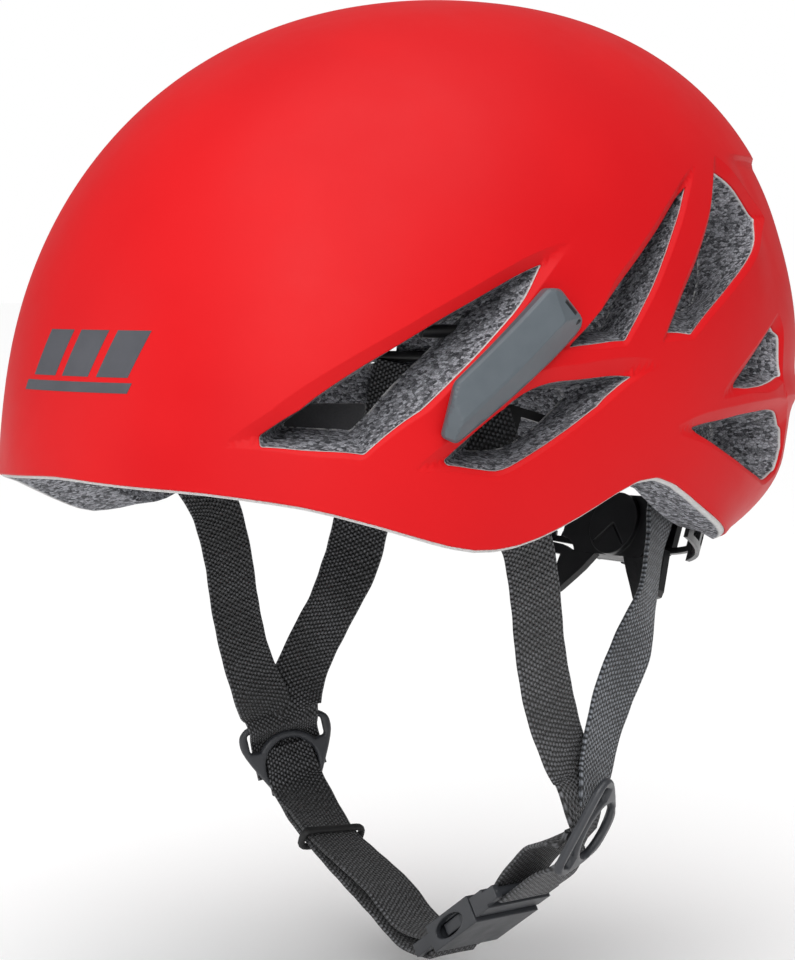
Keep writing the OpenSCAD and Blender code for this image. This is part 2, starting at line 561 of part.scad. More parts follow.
module housing_cover() color(black) in_cradle() difference() {
    housing_plate(cradle_r + 2.5, 2);
    translate([0, cradle_r, 0]) rotate([-90, 0, 0]) cylinder(r = 3.1, h = 8, $fn = 48);
    for (s = [-1, 1], v = [-1, 1]) rotate([0, 0, 90 + s * screw_a]) translate([cradle_r, 0, v * screw_z])
        rotate([0, 90, 0]) cylinder(r = 0.9, h = 12, $fn = 24);
}
module cradle_screws() color("#3a3c3f") in_cradle()
    for (s = [-1, 1], v = [-1, 1]) rotate([0, 0, 90 + s * screw_a]) translate([cradle_r - 3.4, 0, v * screw_z])
        rotate([0, 90, 0]) {
            cylinder(r = 0.85, h = 8, $fn = 24);
            translate([0, 0, 7.95]) cylinder(r = 1.25, h = 0.8, $fn = 24);
        }
// spring wire arms that click on the knob's inner face
module click_spring() color("#8a8d90") at_nape() translate([0, 0, 4.65]) difference() {
    union() {
        cylinder(r = 5.4, h = 0.4, $fn = 48);
        for (s = [0, 180]) rotate([0, 0, s]) translate([-1, 4, 0]) cube([2, 4.6, 0.4]);
    }
    translate([0, 0, -1]) cylinder(r = 3.3, h = 3, $fn = 48);
}
module dial_pinion() color("#2a2c2e") at_nape() {
    translate([0, 0, -1.9]) difference() {
        union() {
            cylinder(r = pinion_r - 1.2, h = 4, $fn = 48);
            for (k = [0:pinion_teeth - 1]) rotate([0, 0, 360 * k / pinion_teeth])
                linear_extrude(4) polygon([[-0.75, 3], [0.75, 3], [0.35, pinion_r + 0.75], [-0.35, pinion_r + 0.75]]);
        }
        translate([0, 0, -1]) cylinder(r = 1.2, h = 12, $fn = 24);
    }
    translate([0, 0, 2.1]) difference() {
        cylinder(r = 3, h = 4.6, $fn = 48);
        translate([0, 0, -3]) cylinder(r = 1.2, h = 12, $fn = 24);
    }
    translate([0, 0, -3.1]) difference() {
        cylinder(r = 2, h = 1.3, $fn = 32);
        translate([0, 0, -1]) cylinder(r = 1.2, h = 4, $fn = 24);
    }
}
module dial_knob() color(black) at_nape() translate([0, 0, 5.5]) difference() {
    union() {
        cylinder(r = knob_r - 0.8, h = 8, $fn = 96);
        for (k = [0:15]) rotate([0, 0, 22.5 * k]) translate([knob_r - 1.3, 0, 0.4])
            cylinder(r = 1.3, h = 7.2, $fn = 24);
    }
    translate([0, 0, -1]) cylinder(r = 3.05, h = 3.4, $fn = 48);
    translate([0, 0, 6.8]) cylinder(r = knob_r - 4, h = 2, $fn = 64);
}
// open frames that rest under the back of the skull, one on each side of the dial
module nape_loops() color(black) in_cradle() both_sides() intersection() {
    rotate([-90, 0, 0]) linear_extrude(cradle_r) difference() {
        polygon([[7, frame_h], [17, frame_h], [21, 9.4], [33, 8.8], [36.5, 23], [35.5, 25], [20, 26.5],
                 [18.6, 25.5], [11, 16.5]]);
        polygon([[21, 13], [30, 12.4], [32, 21.3], [22, 22.6]]);
    }
    difference() {
        translate([0, 0, -30]) cylinder(r = cradle_r - 2.6, h = 40, $fn = 144);
        translate([0, 0, -31]) cylinder(r = cradle_r - 5.2, h = 42, $fn = 144);
    }
}

outer_shell();
foam_liner();
front_mark();
brow_pad();
crown_pad();
front_anchor_left();
front_anchor_right();
rear_anchor_left();
rear_anchor_right();
front_strap_left();
front_strap_right();
rear_strap_left();
rear_strap_right();
divider_left();
divider_right();
chin_loop_left();
chin_strap_right();
keeper_ring();
buckle_male();
prong_front();
prong_rear();
buckle_female();
clip_posts();
clip_left();
clip_right();
clip_rear();
temple_pins();
cradle_housing();
housing_cover();
click_spring();
cradle_screws();
nape_loops();
arm_left();
arm_right();
dial_knob();
dial_pinion();
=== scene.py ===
"""Looks of a climbing helmet: hard shell, foam liner, webbing, buckle, headlamp clips and cradle."""
import math

import bmesh
import bpy
import numpy as np
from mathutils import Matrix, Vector, geometry


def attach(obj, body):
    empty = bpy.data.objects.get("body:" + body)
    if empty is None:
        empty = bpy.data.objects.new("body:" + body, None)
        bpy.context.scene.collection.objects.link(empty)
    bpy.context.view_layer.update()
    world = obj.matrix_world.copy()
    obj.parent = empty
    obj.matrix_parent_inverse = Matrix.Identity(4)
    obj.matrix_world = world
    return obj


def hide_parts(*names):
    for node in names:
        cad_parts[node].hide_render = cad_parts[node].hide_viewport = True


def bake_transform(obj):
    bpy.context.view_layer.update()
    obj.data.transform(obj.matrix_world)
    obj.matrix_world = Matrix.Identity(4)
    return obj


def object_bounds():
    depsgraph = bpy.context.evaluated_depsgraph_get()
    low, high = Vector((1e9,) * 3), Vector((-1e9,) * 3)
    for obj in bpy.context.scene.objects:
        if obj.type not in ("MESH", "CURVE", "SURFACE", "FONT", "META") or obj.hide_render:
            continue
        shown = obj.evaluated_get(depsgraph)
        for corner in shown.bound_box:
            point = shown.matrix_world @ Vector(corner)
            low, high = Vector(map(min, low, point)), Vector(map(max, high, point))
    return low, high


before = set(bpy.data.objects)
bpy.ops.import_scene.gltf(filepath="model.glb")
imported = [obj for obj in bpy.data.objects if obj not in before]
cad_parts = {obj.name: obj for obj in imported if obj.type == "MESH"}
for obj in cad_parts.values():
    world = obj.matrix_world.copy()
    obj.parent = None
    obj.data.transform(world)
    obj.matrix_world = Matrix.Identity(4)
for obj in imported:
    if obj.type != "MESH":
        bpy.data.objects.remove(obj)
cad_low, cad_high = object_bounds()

MM = 0.001
ROOT = "helmet"

# ---------------- dome of the shell, in millimetres
SHELL_FRONT, SHELL_REAR, SHELL_HALF_W = 131.0, 136.0, 107.5
# height of the dome above its widest level, and that level
DOME_H, WIDE_Z = 126.0, 25.0
# powers of the rounded curves of the plan and of the side
ROUND_PLAN, ROUND_SIDE = 2.17, 2.2
# how much the dome leans back as it rises, and its centre at the widest level
LEAN, CENTRE_Y = 0.144, 2.2
# the sides tuck in at the back, below a level and behind an azimuth
TUCK, TUCK_Z, TUCK_FROM = 0.11, 5.0, 112
# depth of the foam's inner face at the sides and at the crown, and its edge's height above the rim
FOAM, FOAM_TOP, INNER_LIFT = 21.8, 23.8, 3.5
# spacing of the points on the shell and on the foam's inner face
SPACING, INNER_SPACING = 2.1, 4.0
# millimetres to a degree from the crown when the dome is laid flat
FLAT_SCALE = 2.1
# azimuths at which the rim is drawn, from the front round to the back
SPAN = np.linspace(0, 180, 241)
# a level below the whole rim
BELOW_RIM = -22.0
# width of the chamfer beside a vent, and how much wider it is above one
CREASE_W, CREASE_MORE = 1.5, 2.1
# a chamfer's greatest depth and its slope
CHAMFER_DEPTH, CHAMFER_SLOPE = 2.1, 0.62
# depth of the step behind the rear vents, and height of the rib between two of them
LEDGE, RIB = 1.7, 1.8
# corners that turn by less than this many degrees bend over this share of their sides
SOFT_TURN, SOFT_SHARE = 28, 0.42
# points on a corner's curve and between two corners
CORNER_POINTS, SIDE_POINTS = 5, 6

# the rim as azimuth and height
RIM = [
    (0, 4.5), (12, 3.2), (25, 2), (38, -1.5), (48, -7), (56, -12), (63, -15.5), (70, -14.5),
    (77, -10), (85, -3), (92, 3.2), (97, 4.2), (102, 0.8), (108, -5), (115, -11), (123, -16.2),
    (131, -19.5), (139, -19), (150, -12), (165, -5), (180, -3),
]
# each vent: outline on the shell, outline on the foam's inner face, and how far its crease runs on
# past some of its corners, as {corner: (azimuth, height)}
VENTS = [
    ([(31.2, 17.6), (40, 31.2), (49, 43.4), (59, 55.5), (69.8, 66), (66.4, 54), (60, 40),
      (54.5, 28.3), (49.5, 20.5), (45.3, 12.4), (38, 13.3), (31.8, 14.6)],
     [(31, 20.6), (40, 32), (48, 42.5), (54, 48.5), (58.5, 50.5), (56.5, 46.5), (51.5, 38),
      (46.8, 29.5), (44, 23), (41.5, 18.3), (36, 18.8), (31, 19.3)],
     {0: (27.6, 16.4), 4: (76.0, 73.4), 11: (26.6, 14.2)}),
    ([(56.5, 10.5), (60, 17), (65, 25), (70.5, 31.3), (79, 32.3), (88.3, 33.2), (83, 27),
      (77, 19), (71.5, 12.7), (65.6, 6.5), (61, 7.9), (57, 9.2)],
     [(62, 12.5), (64, 18), (67.5, 24), (72, 28.5), (77, 29.5), (82, 29), (83, 26.5),
      (79.5, 21.5), (75.5, 16.5), (70.5, 12.3), (66.5, 11.8), (63, 11.8)],
     {0: (52.6, 8.8), 5: (95.5, 36.6), 11: (51.6, 7.4)}),
    ([(75, 42), (79.3, 50), (84, 58.3), (89.1, 66.7), (96, 77.5), (104.8, 89.8), (101, 81),
      (96.4, 70), (92.8, 60), (89.5, 51.8), (86.3, 43.6), (80, 42.6)],
     [(83, 46), (86, 53), (91, 60), (96, 66), (99.5, 69.5), (102.5, 71.5), (101.5, 66),
      (99, 61), (96.5, 55.5), (94, 50), (92.3, 46.4), (87, 46)],
     {0: (72.6, 41.2), 5: (110.3, 98.1)}),
    ([(95.6, 45.8), (99.2, 55.8), (103.2, 65), (106.9, 73.5), (110.9, 82), (117.5, 95),
      (124.3, 89.2), (130.6, 80.8), (125.8, 74), (118.1, 65.2), (110.1, 56.3), (101.6, 45.1)],
     [(112, 53), (114.5, 58), (117, 63.5), (119.5, 68.5), (122, 73), (125, 77),
      (129, 76), (131, 72.5), (129.5, 67), (127, 61), (123.5, 54.5), (118, 51.5)],
     {0: (94.0, 42.6), 5: (117.6, 100.4), 7: (133.6, 81.2)}),
    ([(114.4, 28.6), (119, 35.5), (124, 42), (128.5, 47.5), (131, 44), (131, 36),
      (131.5, 31.2), (127, 29.4), (122.8, 28.3), (118, 28)],
     [(119, 32.5), (121.5, 35.5), (124, 38), (126, 40.5), (127.8, 40), (128, 36.5),
      (127.5, 34.4), (126, 33), (123.5, 32.2), (121, 32)],
     {0: (109.6, 25.6), 3: (129.6, 51.4), 9: (113.0, 25.4)}),
    ([(104.4, 17.2), (113, 18.7), (122, 20.3), (130, 20.8), (134.5, 19.5), (138.5, 14),
      (139.5, 8), (138, 0.5), (132, -2.8), (123, 2), (114, 8.5), (106, 14.8)],
     [(117, 11), (121, 13.5), (126, 15.5), (131, 16.5), (135, 15.5), (137, 12),
      (136.5, 8.4), (134, 4.8), (130, 3), (126, 4.2), (121, 6.8), (118, 9)],
     {0: (99.0, 17.6), 11: (101.0, 14.6)}),
]


def fold(a):
    """Azimuths as 0 to 180, the same on both sides."""
    b = np.mod(a, 360)
    return np.where(b > 180, 360 - b, b)


def smoothstep(x):
    c = np.clip(x, 0, 1)
    return c * c * (3 - 2 * c)


def rim_z(a):
    """The rim's height, with its corners eased."""
    azimuths, heights = zip(*RIM)
    parts = [np.interp(fold(a + shift), azimuths, heights) for shift in (-4, 0, 0, 4)]
    return sum(parts) / len(parts)


def dome(a, z, inset=0.0, drop=None):
    """Points at azimuths a and heights z, on the dome moved in by inset at the sides, drop on top."""
    a, z, inset = np.broadcast_arrays(np.asarray(a, float), np.asarray(z, float), np.asarray(inset, float))
    drop = inset if drop is None else np.asarray(drop, float)
    t = np.radians(a)
    high = np.clip((z - WIDE_Z) / (DOME_H - drop), 0, 1)
    back = smoothstep((fold(a) - TUCK_FROM) / 26)
    tuck = np.where(z < TUCK_Z, TUCK * ((TUCK_Z - z) / 25) ** 2 * back, 0)
    tuck = tuck * np.clip(1.06 - inset / 20, 0, 1)
    width = np.where(z > WIDE_Z, (1 - high ** ROUND_SIDE) ** (1 / ROUND_SIDE),
                     1 - 0.05 * ((WIDE_Z - z) / 60) ** 2 - tuck)
    reach = np.where(np.cos(t) > 0, SHELL_FRONT, SHELL_REAR) - inset
    plan = (np.abs(np.sin(t) / (SHELL_HALF_W - inset)) ** ROUND_PLAN
            + np.abs(np.cos(t) / reach) ** ROUND_PLAN) ** (-1 / ROUND_PLAN)
    r = width * plan
    return np.stack([r * np.sin(t), CENTRE_Y + LEAN * (z - WIDE_Z) - r * np.cos(t), z], -1)


def flat_radius(z, drop=0.0):
    """How far from the crown a height lies on the flattened dome, in millimetres."""
    high = np.clip((z - WIDE_Z) / (DOME_H - drop), 0, 1)
    above = 90 - np.degrees(np.arcsin(high ** (ROUND_SIDE / 2)))
    return FLAT_SCALE * np.where(z > WIDE_Z, above, 90 + (WIDE_Z - z) / FLAT_SCALE)


def height_at(radius, drop=0.0):
    """The height that lies at a distance from the crown of the flattened dome."""
    q = radius / FLAT_SCALE
    above = WIDE_Z + (DOME_H - drop) * np.sin(np.radians(np.clip(90 - q, 0, 90))) ** (2 / ROUND_SIDE)
    return np.where(q < 90, above, WIDE_Z - (q - 90) * FLAT_SCALE)


def flat(a, z, drop=0.0):
    """Azimuths and heights as points on the flattened dome."""
    r = flat_radius(np.asarray(z, float), drop)
    t = np.radians(a)
    return np.stack([r * np.sin(t), -r * np.cos(t)], -1)


def unflat(p, drop=0.0):
    """Points on the flattened dome as azimuths and heights."""
    a = np.degrees(np.arctan2(p[:, 0], -p[:, 1]))
    return a, height_at(np.hypot(p[:, 0], p[:, 1]), drop)


# ---------------- outlines
def turn_at(before, here, after):
    """How many degrees an outline turns at a corner."""
    back, ahead = before - here, after - here
    cosine = back @ ahead / (np.linalg.norm(back) * np.linalg.norm(ahead))
    return 180 - math.degrees(math.acos(np.clip(cosine, -1, 1)))


def eased(length, turn, cut):
    """How much of a side the curve at one of its corners takes."""
    return max(SOFT_SHARE * length if turn < SOFT_TURN else 0, min(cut, 0.4 * length))


def rounded(corners, cut=1.6):
    """A closed outline with each corner eased by a short curve: soft bends widely, sharp ones barely."""
    p = np.asarray(corners, float)
    n = len(p)
    turns = [turn_at(p[i - 1], p[i], p[(i + 1) % n]) for i in range(n)]
    out = []
    for i in range(n):
        here, after = p[i], p[(i + 1) % n]
        back, ahead = p[i - 1] - here, after - here
        length_back, length = np.linalg.norm(back), np.linalg.norm(ahead)
        start = here + back / length_back * eased(length_back, turns[i], cut)
        end = here + ahead / length * eased(length, turns[i], cut)
        stop = after - ahead / length * eased(length, turns[(i + 1) % n], cut)
        for t in np.linspace(0, 1, CORNER_POINTS):
            out.append((1 - t) ** 2 * start + 2 * t * (1 - t) * here + t * t * end)
        for t in np.linspace(0, 1, SIDE_POINTS + 2)[1:-1]:
            out.append((1 - t) * end + t * stop)
    return np.array(out)


def outline(points, drop=0.0, cut=1.1):
    """A vent's outline as smooth azimuths and heights."""
    corners = np.array([flat(a, z, drop) for a, z in points])
    return unflat(rounded(corners, cut), drop)


def crease(vent):
    """The outline of the chamfer round a vent: wide above it, narrow below, run out at its tips."""
    outer, _, tips = vent
    p = np.array([flat(a, z) for a, z in outer])
    n = len(p)
    centre = p.mean(0)
    moved = []
    for i in range(n):
        tangent = p[(i + 1) % n] - p[i - 1]
        normal = np.array([-tangent[1], tangent[0]]) / np.linalg.norm(tangent)
        if normal @ (p[i] - centre) < 0:
            normal = -normal
        upward = -normal @ p[i] / np.linalg.norm(p[i])
        moved.append(p[i] + normal * (CREASE_W + CREASE_MORE * max(0.0, upward)))
    for i, place in tips.items():
        moved[i] = flat(*place)
    return unflat(rounded(moved, 2.2))


def inside(points, polygon):
    """Which flat points lie inside a flat polygon."""
    x, y = points[:, 0], points[:, 1]
    hit = np.zeros(len(points), bool)
    for a, b in zip(polygon, np.roll(polygon, -1, 0)):
        crosses = (a[1] > y) != (b[1] > y)
        at = a[0] + (y - a[1]) * (b[0] - a[0]) / (b[1] - a[1] + 1e-12)
        hit ^= crosses & (x < at)
    return hit


def solid(points):
    """Flat points as 3-D points at height 0."""
    return np.c_[points, np.zeros(len(points))]


def distance(points, polygon):
    """Distance of each 3-D point to a closed 3-D polyline."""
    best = np.full(len(points), 1e9)
    for a, b in zip(polygon, np.roll(polygon, -1, 0)):
        d = b - a
        t = np.clip((points - a) @ d / (d @ d + 1e-12), 0, 1)
        best = np.minimum(best, np.linalg.norm(points - a - t[:, None] * d, axis=1))
    return best


# ---------------- mesh helpers
def placed(name, data):
    """A new object in the scene."""
    obj = bpy.data.objects.new(name, data)
    bpy.context.scene.collection.objects.link(obj)
    return obj


def new_object(name, verts_mm, faces, material, uvs=None, edge=None):
    """A smooth-shaded mesh; edge is how strongly a painted highlight pales the material at each point."""
    mesh = bpy.data.meshes.new(name)
    mesh.from_pydata((np.asarray(verts_mm, float) * MM).tolist(), [], [list(map(int, f)) for f in faces])
    mesh.validate()
    mesh.polygons.foreach_set("use_smooth", [True] * len(mesh.polygons))
    if uvs is not None:
        layer = mesh.uv_layers.new(name="UVMap")
        index = np.empty(len(mesh.loops), int)
        mesh.loops.foreach_get("vertex_index", index)
        layer.data.foreach_set("uv", np.asarray(uvs, float)[index].ravel())
    if edge is not None:
        mesh.attributes.new("edge", "FLOAT", "POINT").data.foreach_set("value", np.asarray(edge, float))
    mesh.materials.append(material)
    return placed(name, mesh)


def strip(first, second, closed=True):
    """Faces between two rows of point numbers."""
    n = len(first)
    last = n if closed else n - 1
    return [(first[i], first[(i + 1) % n], second[(i + 1) % n], second[i]) for i in range(last)]


def stacked(start, n, rings, closed=True):
    """Faces between rings of n points each, numbered on from start."""
    base = [range(start + k * n, start + (k + 1) * n) for k in range(rings)]
    return [face for k in range(rings - 1) for face in strip(base[k], base[k + 1], closed)]


def on_seam(row):
    """Puts a row's two ends on the middle plane."""
    row[[0, -1], 0] = 0
    return row


def two_faced(name, verts, top, low, tris, place, material):
    """A solid between two sheets over the same flat triangles, closed round every border."""
    m = len(verts)
    faces = [tuple(t) for t in tris] + [tuple(m + t[::-1]) for t in tris]
    ends = {(a, b): True for t in tris for a, b in ((t[0], t[1]), (t[1], t[2]), (t[2], t[0]))}
    faces += [(b, a, m + a, m + b) for a, b in ends if (b, a) not in ends]
    points = np.concatenate([np.c_[verts, top], np.c_[verts, low]])
    return new_object(name, place(points), faces, material)


def grid_sheets(rows, cols):
    """The point numbers of one sheet of rows by cols points, and the faces of two such sheets."""
    number = np.arange(rows * cols).reshape(rows, cols)
    faces = []
    for i in range(rows - 1):
        for j in range(cols - 1):
            q = (number[i, j], number[i, j + 1], number[i + 1, j + 1], number[i + 1, j])
            faces += [q, tuple(rows * cols + k for k in q[::-1])]
    return number, faces


def triangles(points, edges, border, holes, weld):
    """Triangles over flat points that keep the edges, within a border and outside the holes."""
    result = geometry.delaunay_2d_cdt([Vector(p) for p in points], edges, [], 0, weld)
    verts, tris = np.array([tuple(v) for v in result[0]]), np.array(result[2])
    middle = verts[tris].mean(1)
    good = inside(middle, border)
    for hole in holes:
        good &= ~inside(middle, hole)
    return verts, tris[good]


def half_sheet(holes, creases, drop, lift, spacing):
    """Triangles over the left half of the flattened dome, open at the holes and fine round them."""
    low = rim_z(SPAN) + lift
    border = flat(SPAN, low, drop)
    back = flat_radius(low[-1], drop)
    front = flat_radius(low[0], drop)
    seam = [(0, y) for y in np.linspace(back, -front, int((back + front) / spacing))[1:-1]]
    rings = [border, np.array(seam)]
    loops = [(0, len(border) + len(seam))]
    count = loops[0][1]
    keep_out = []
    for k, hole in enumerate(holes):
        hole_flat = flat(*hole, drop)
        rings.append(hole_flat)
        loops.append((count, len(hole_flat)))
        count += len(hole_flat)
        if creases:
            line = flat(*creases[k], drop)
            for share in (0.25, 0.5, 0.75):
                rings.append(hole_flat * (1 - share) + line * share)
                count += len(hole_flat)
            rings.append(line)
            loops.append((count, len(line)))
            count += len(line)
            keep_out.append(line)
        else:
            keep_out.append(hole_flat)
    field = []
    reach = flat_radius(BELOW_RIM, drop)
    for r in np.arange(spacing, reach, spacing):
        z = float(height_at(np.array(r), drop))
        wide = np.linalg.norm(dome(90, z, 0, 0)[:2] - np.array([0, CENTRE_Y + LEAN * (z - WIDE_Z)]))
        steps = max(6, int(math.pi * wide * 1.12 / spacing))
        a = 180 * (np.arange(steps) + 0.5) / steps
        a = a[z > rim_z(a) + lift + 0.6 * spacing]
        field.append(flat(a, np.full(len(a), z), drop))
    field = np.concatenate(field)
    for line in keep_out:
        field = field[~inside(field, line)]
        field = field[distance(solid(field), solid(line)) > 0.5 * spacing]
    edges = [(start + i, start + (i + 1) % length) for start, length in loops for i in range(length)]
    return triangles(np.concatenate(rings + [field]), edges, np.concatenate(rings[:2]),
                     [flat(*hole, drop) for hole in holes], 1e-5)


def mirrored(verts, faces, seam=1e-4):
    """A half on +X and its mirror image, joined along the middle."""
    n = len(verts)
    twin = np.where(np.abs(verts[:, 0]) < seam, np.arange(n), np.arange(n) + n)
    flipped = verts * [-1, 1, 1]
    both = np.concatenate([verts, flipped])
    faces = [tuple(f) for f in faces] + [tuple(twin[list(f)][::-1]) for f in faces]
    return both, faces


def catmull(points, step):
    """A smooth curve through the points with a point about every step."""
    p = np.asarray(points, float)
    ends = np.vstack([2 * p[0] - p[1], p, 2 * p[-1] - p[-2]])
    out = []
    for i in range(1, len(ends) - 2):
        a, b, c, d = ends[i - 1:i + 3]
        for t in np.linspace(0, 1, max(2, int(np.linalg.norm((c - b)[:3]) / step) + 1), endpoint=False):
            out.append(0.5 * (2 * b + (c - a) * t + (2 * a - 5 * b + 4 * c - d) * t ** 2
                              + (3 * b - a - 3 * c + d) * t ** 3))
    out.append(p[-1])
    return np.array(out)


def unit(v):
    """Vectors brought to length 1."""
    v = np.asarray(v, float)
    return v / np.linalg.norm(v, axis=-1, keepdims=True)


# ---------------- materials
class Nodes:
    """A small helper that adds shader nodes and links them."""

    def __init__(self, name):
        self.material = bpy.data.materials.new(name)
        self.material.use_nodes = True
        self.tree = self.material.node_tree
        self.tree.nodes.clear()
        out = self.add("ShaderNodeOutputMaterial")
        self.shader = self.add("ShaderNodeBsdfPrincipled")
        self.link(self.shader.outputs[0], out.inputs["Surface"])

    def add(self, kind, **settings):
        node = self.tree.nodes.new(kind)
        for key, value in settings.items():
            setattr(node, key, value)
        return node

    def link(self, source, target):
        self.tree.links.new(source, target)

    def put(self, target, value):
        if hasattr(value, "is_linked"):
            self.link(value, target)
        else:
            target.default_value = value

    def math(self, operation, a, b=0.0):
        node = self.add("ShaderNodeMath", operation=operation)
        for socket, value in zip(node.inputs, (a, b)):
            self.put(socket, value)
        return node.outputs[0]

    def plus(self, a, b):
        return self.math("ADD", a, b)

    def times(self, a, b):
        return self.math("MULTIPLY", a, b)

    def voronoi(self, scale, vector, feature="F1"):
        node = self.add("ShaderNodeTexVoronoi", feature=feature)
        node.inputs["Scale"].default_value = scale
        self.link(vector, node.inputs["Vector"])
        return node.outputs

    def noise(self, scale, detail=3.0, rough=0.55, vector=None):
        node = self.add("ShaderNodeTexNoise")
        node.inputs["Scale"].default_value = scale
        node.inputs["Detail"].default_value = detail
        node.inputs["Roughness"].default_value = rough
        self.link(vector or self.object_space(), node.inputs["Vector"])
        return node.outputs["Fac"]

    def object_space(self):
        return self.add("ShaderNodeTexCoord").outputs["Object"]

    def ramp(self, value, low, high, to_low=0.0, to_high=1.0):
        node = self.add("ShaderNodeMapRange", interpolation_type="SMOOTHSTEP")
        for name, v in (("Value", value), ("From Min", low), ("From Max", high),
                        ("To Min", to_low), ("To Max", to_high)):
            self.put(node.inputs[name], v)
        return node.outputs[0]

    def mix(self, factor, one, two):
        node = self.add("ShaderNodeMix", data_type="RGBA")
        self.put(node.inputs[0], factor)
        for socket, colour in ((node.inputs[6], one), (node.inputs[7], two)):
            self.put(socket, colour if hasattr(colour, "is_linked") else (*colour, 1.0))
        return node.outputs[2]

    def bump(self, height, distance, strength=1.0, normal=None):
        node = self.add("ShaderNodeBump")
        node.inputs["Distance"].default_value = distance
        node.inputs["Strength"].default_value = strength
        self.link(height, node.inputs["Height"])
        if normal is not None:
            self.link(normal, node.inputs["Normal"])
        return node.outputs[0]

    def rounded_edges(self, radius):
        node = self.add("ShaderNodeBevel", samples=6)
        node.inputs["Radius"].default_value = radius
        return node.outputs[0]

    def finish(self, colour, roughness, normal, **extra):
        self.put(self.shader.inputs["Base Color"], colour)
        self.put(self.shader.inputs["Roughness"], roughness)
        self.put(self.shader.inputs["Normal"], normal)
        for name, value in extra.items():
            self.put(self.shader.inputs[name.replace("_", " ")], value)
        return self.material


# beads of foam to a metre
BEAD_SCALE = 780
# size of a stitch across and along the webbing, and the distance between its ribs, in millimetres
STITCH_W, STITCH_L, RIB_STEP = 1.18, 1.7, 3.7


def shell_red():
    """Matt painted plastic with a very fine grain and slightly uneven gloss."""
    n = Nodes("matt_red_shell")
    cloud = n.noise(14, 2.0)
    colour = n.mix(n.ramp(cloud, 0.3, 0.7), (0.525, 0.0030, 0.006), (0.565, 0.0045, 0.007))
    grain = n.noise(2600, 2.0)
    rough = n.ramp(n.noise(60, 4.0), 0.25, 0.75, 0.44, 0.52)
    normal = n.bump(grain, 0.00004, 0.5, n.rounded_edges(0.0007))
    return n.finish(colour, rough, normal, Specular_IOR_Level=0.15)


def foam():
    """Expanded foam: grey beads of mixed tone pressed together, with a painted highlight along the vents'
    and brim's edges.
    """
    n = Nodes("speckled_foam")
    warp = n.add("ShaderNodeMapping", vector_type="POINT")
    warp.inputs["Scale"].default_value = (1.0, 1.0, 1.7)
    n.link(n.object_space(), warp.inputs["Vector"])
    beads = n.voronoi(BEAD_SCALE, warp.outputs[0])
    border = n.voronoi(BEAD_SCALE, warp.outputs[0], "DISTANCE_TO_EDGE")["Distance"]
    tone = n.add("ShaderNodeSeparateColor")
    n.link(beads["Color"], tone.inputs[0])
    fine = n.noise(2300, 3.0, 0.7, warp.outputs[0])
    mixed = n.plus(n.times(tone.outputs[0], 0.55), n.times(fine, 0.75))
    dark, pale = (0.016, 0.0165, 0.020), (0.40, 0.405, 0.44)
    colour = n.mix(n.ramp(mixed, 0.28, 1.02), dark, pale)
    colour = n.mix(n.ramp(border, 0.0, 0.16, 0.55, 0.0), colour, dark)
    # painted highlight: the foam is paled towards light grey where the edge attribute marks the vents' and
    # brim's edges
    edge = n.add("ShaderNodeAttribute", attribute_name="edge")
    colour = n.mix(n.ramp(edge.outputs["Fac"], 0.3, 0.9, 0.0, 0.8), colour, (0.66, 0.65, 0.64))
    height = n.plus(n.ramp(border, 0.0, 0.3), n.times(fine, 0.5))
    return n.finish(colour, 0.78, n.bump(height, 0.00022, 0.8), Specular_IOR_Level=0.3)


def webbing(name, dark, pale, rough):
    """Woven nylon webbing: columns of long stitches that step by half a stitch from one to the next,
    coloured with a painted highlight on each stitch's crest and painted shade between the stitches and in
    the ribs.
    """
    n = Nodes(name)
    uv = n.add("ShaderNodeUVMap", uv_map="UVMap")
    part = n.add("ShaderNodeSeparateXYZ")
    n.link(uv.outputs[0], part.inputs[0])
    wobble = n.times(n.math("SUBTRACT", n.noise(420, 2.0), 0.5), 0.55)
    across = n.math("DIVIDE", part.outputs[0], STITCH_W)
    column = n.math("FLOOR", across)
    along = n.plus(n.math("DIVIDE", part.outputs[1], STITCH_L), wobble)
    along = n.plus(along, n.times(column, 0.5))
    side = n.math("SINE", n.times(n.math("FRACT", across), math.pi))
    run = n.math("SINE", n.times(n.math("FRACT", along), math.pi))
    stitch = n.times(n.math("POWER", side, 0.6), n.math("POWER", run, 0.8))
    rib = n.ramp(n.math("SINE", n.times(part.outputs[1], 2 * math.pi / RIB_STEP)), -1.0, 1.0)
    fibre = n.noise(5200, 2.0)
    # painted highlight and shade: each stitch is pale at its crest and dark at its sides and ends, a little
    # darker between the ribs
    painted_stitch_light = n.times(stitch, n.plus(0.72, n.times(fibre, 0.5)))
    painted_stitch_light = n.times(painted_stitch_light, n.plus(0.86, n.times(rib, 0.14)))
    wear = n.ramp(n.noise(55, 3.0), 0.35, 0.75, 0.85, 1.15)
    colour = n.mix(n.ramp(n.times(painted_stitch_light, wear), 0.34, 0.98), dark, pale)
    height = n.plus(stitch, n.times(rib, 0.35))
    return n.finish(colour, rough, n.bump(height, 0.0006, 0.9), Sheen_Weight=0.12, Sheen_Roughness=0.4)


def plastic(name, colour, rough, bevel=0.0004):
    """Moulded plastic with a fine spark-eroded grain and slightly uneven gloss."""
    n = Nodes(name)
    pale = tuple(min(1, c * 1.12 + 0.004) for c in colour)
    mixed = n.mix(n.ramp(n.noise(90, 4.0), 0.3, 0.7), colour, pale)
    grains = n.noise(3200, 2.0)
    uneven = n.ramp(n.noise(140, 5.0, 0.65), 0.25, 0.8, rough - 0.05, rough + 0.07)
    normal = n.bump(grains, 0.00003, 0.6, n.rounded_edges(bevel))
    return n.finish(mixed, uneven, normal, Specular_IOR_Level=0.45)


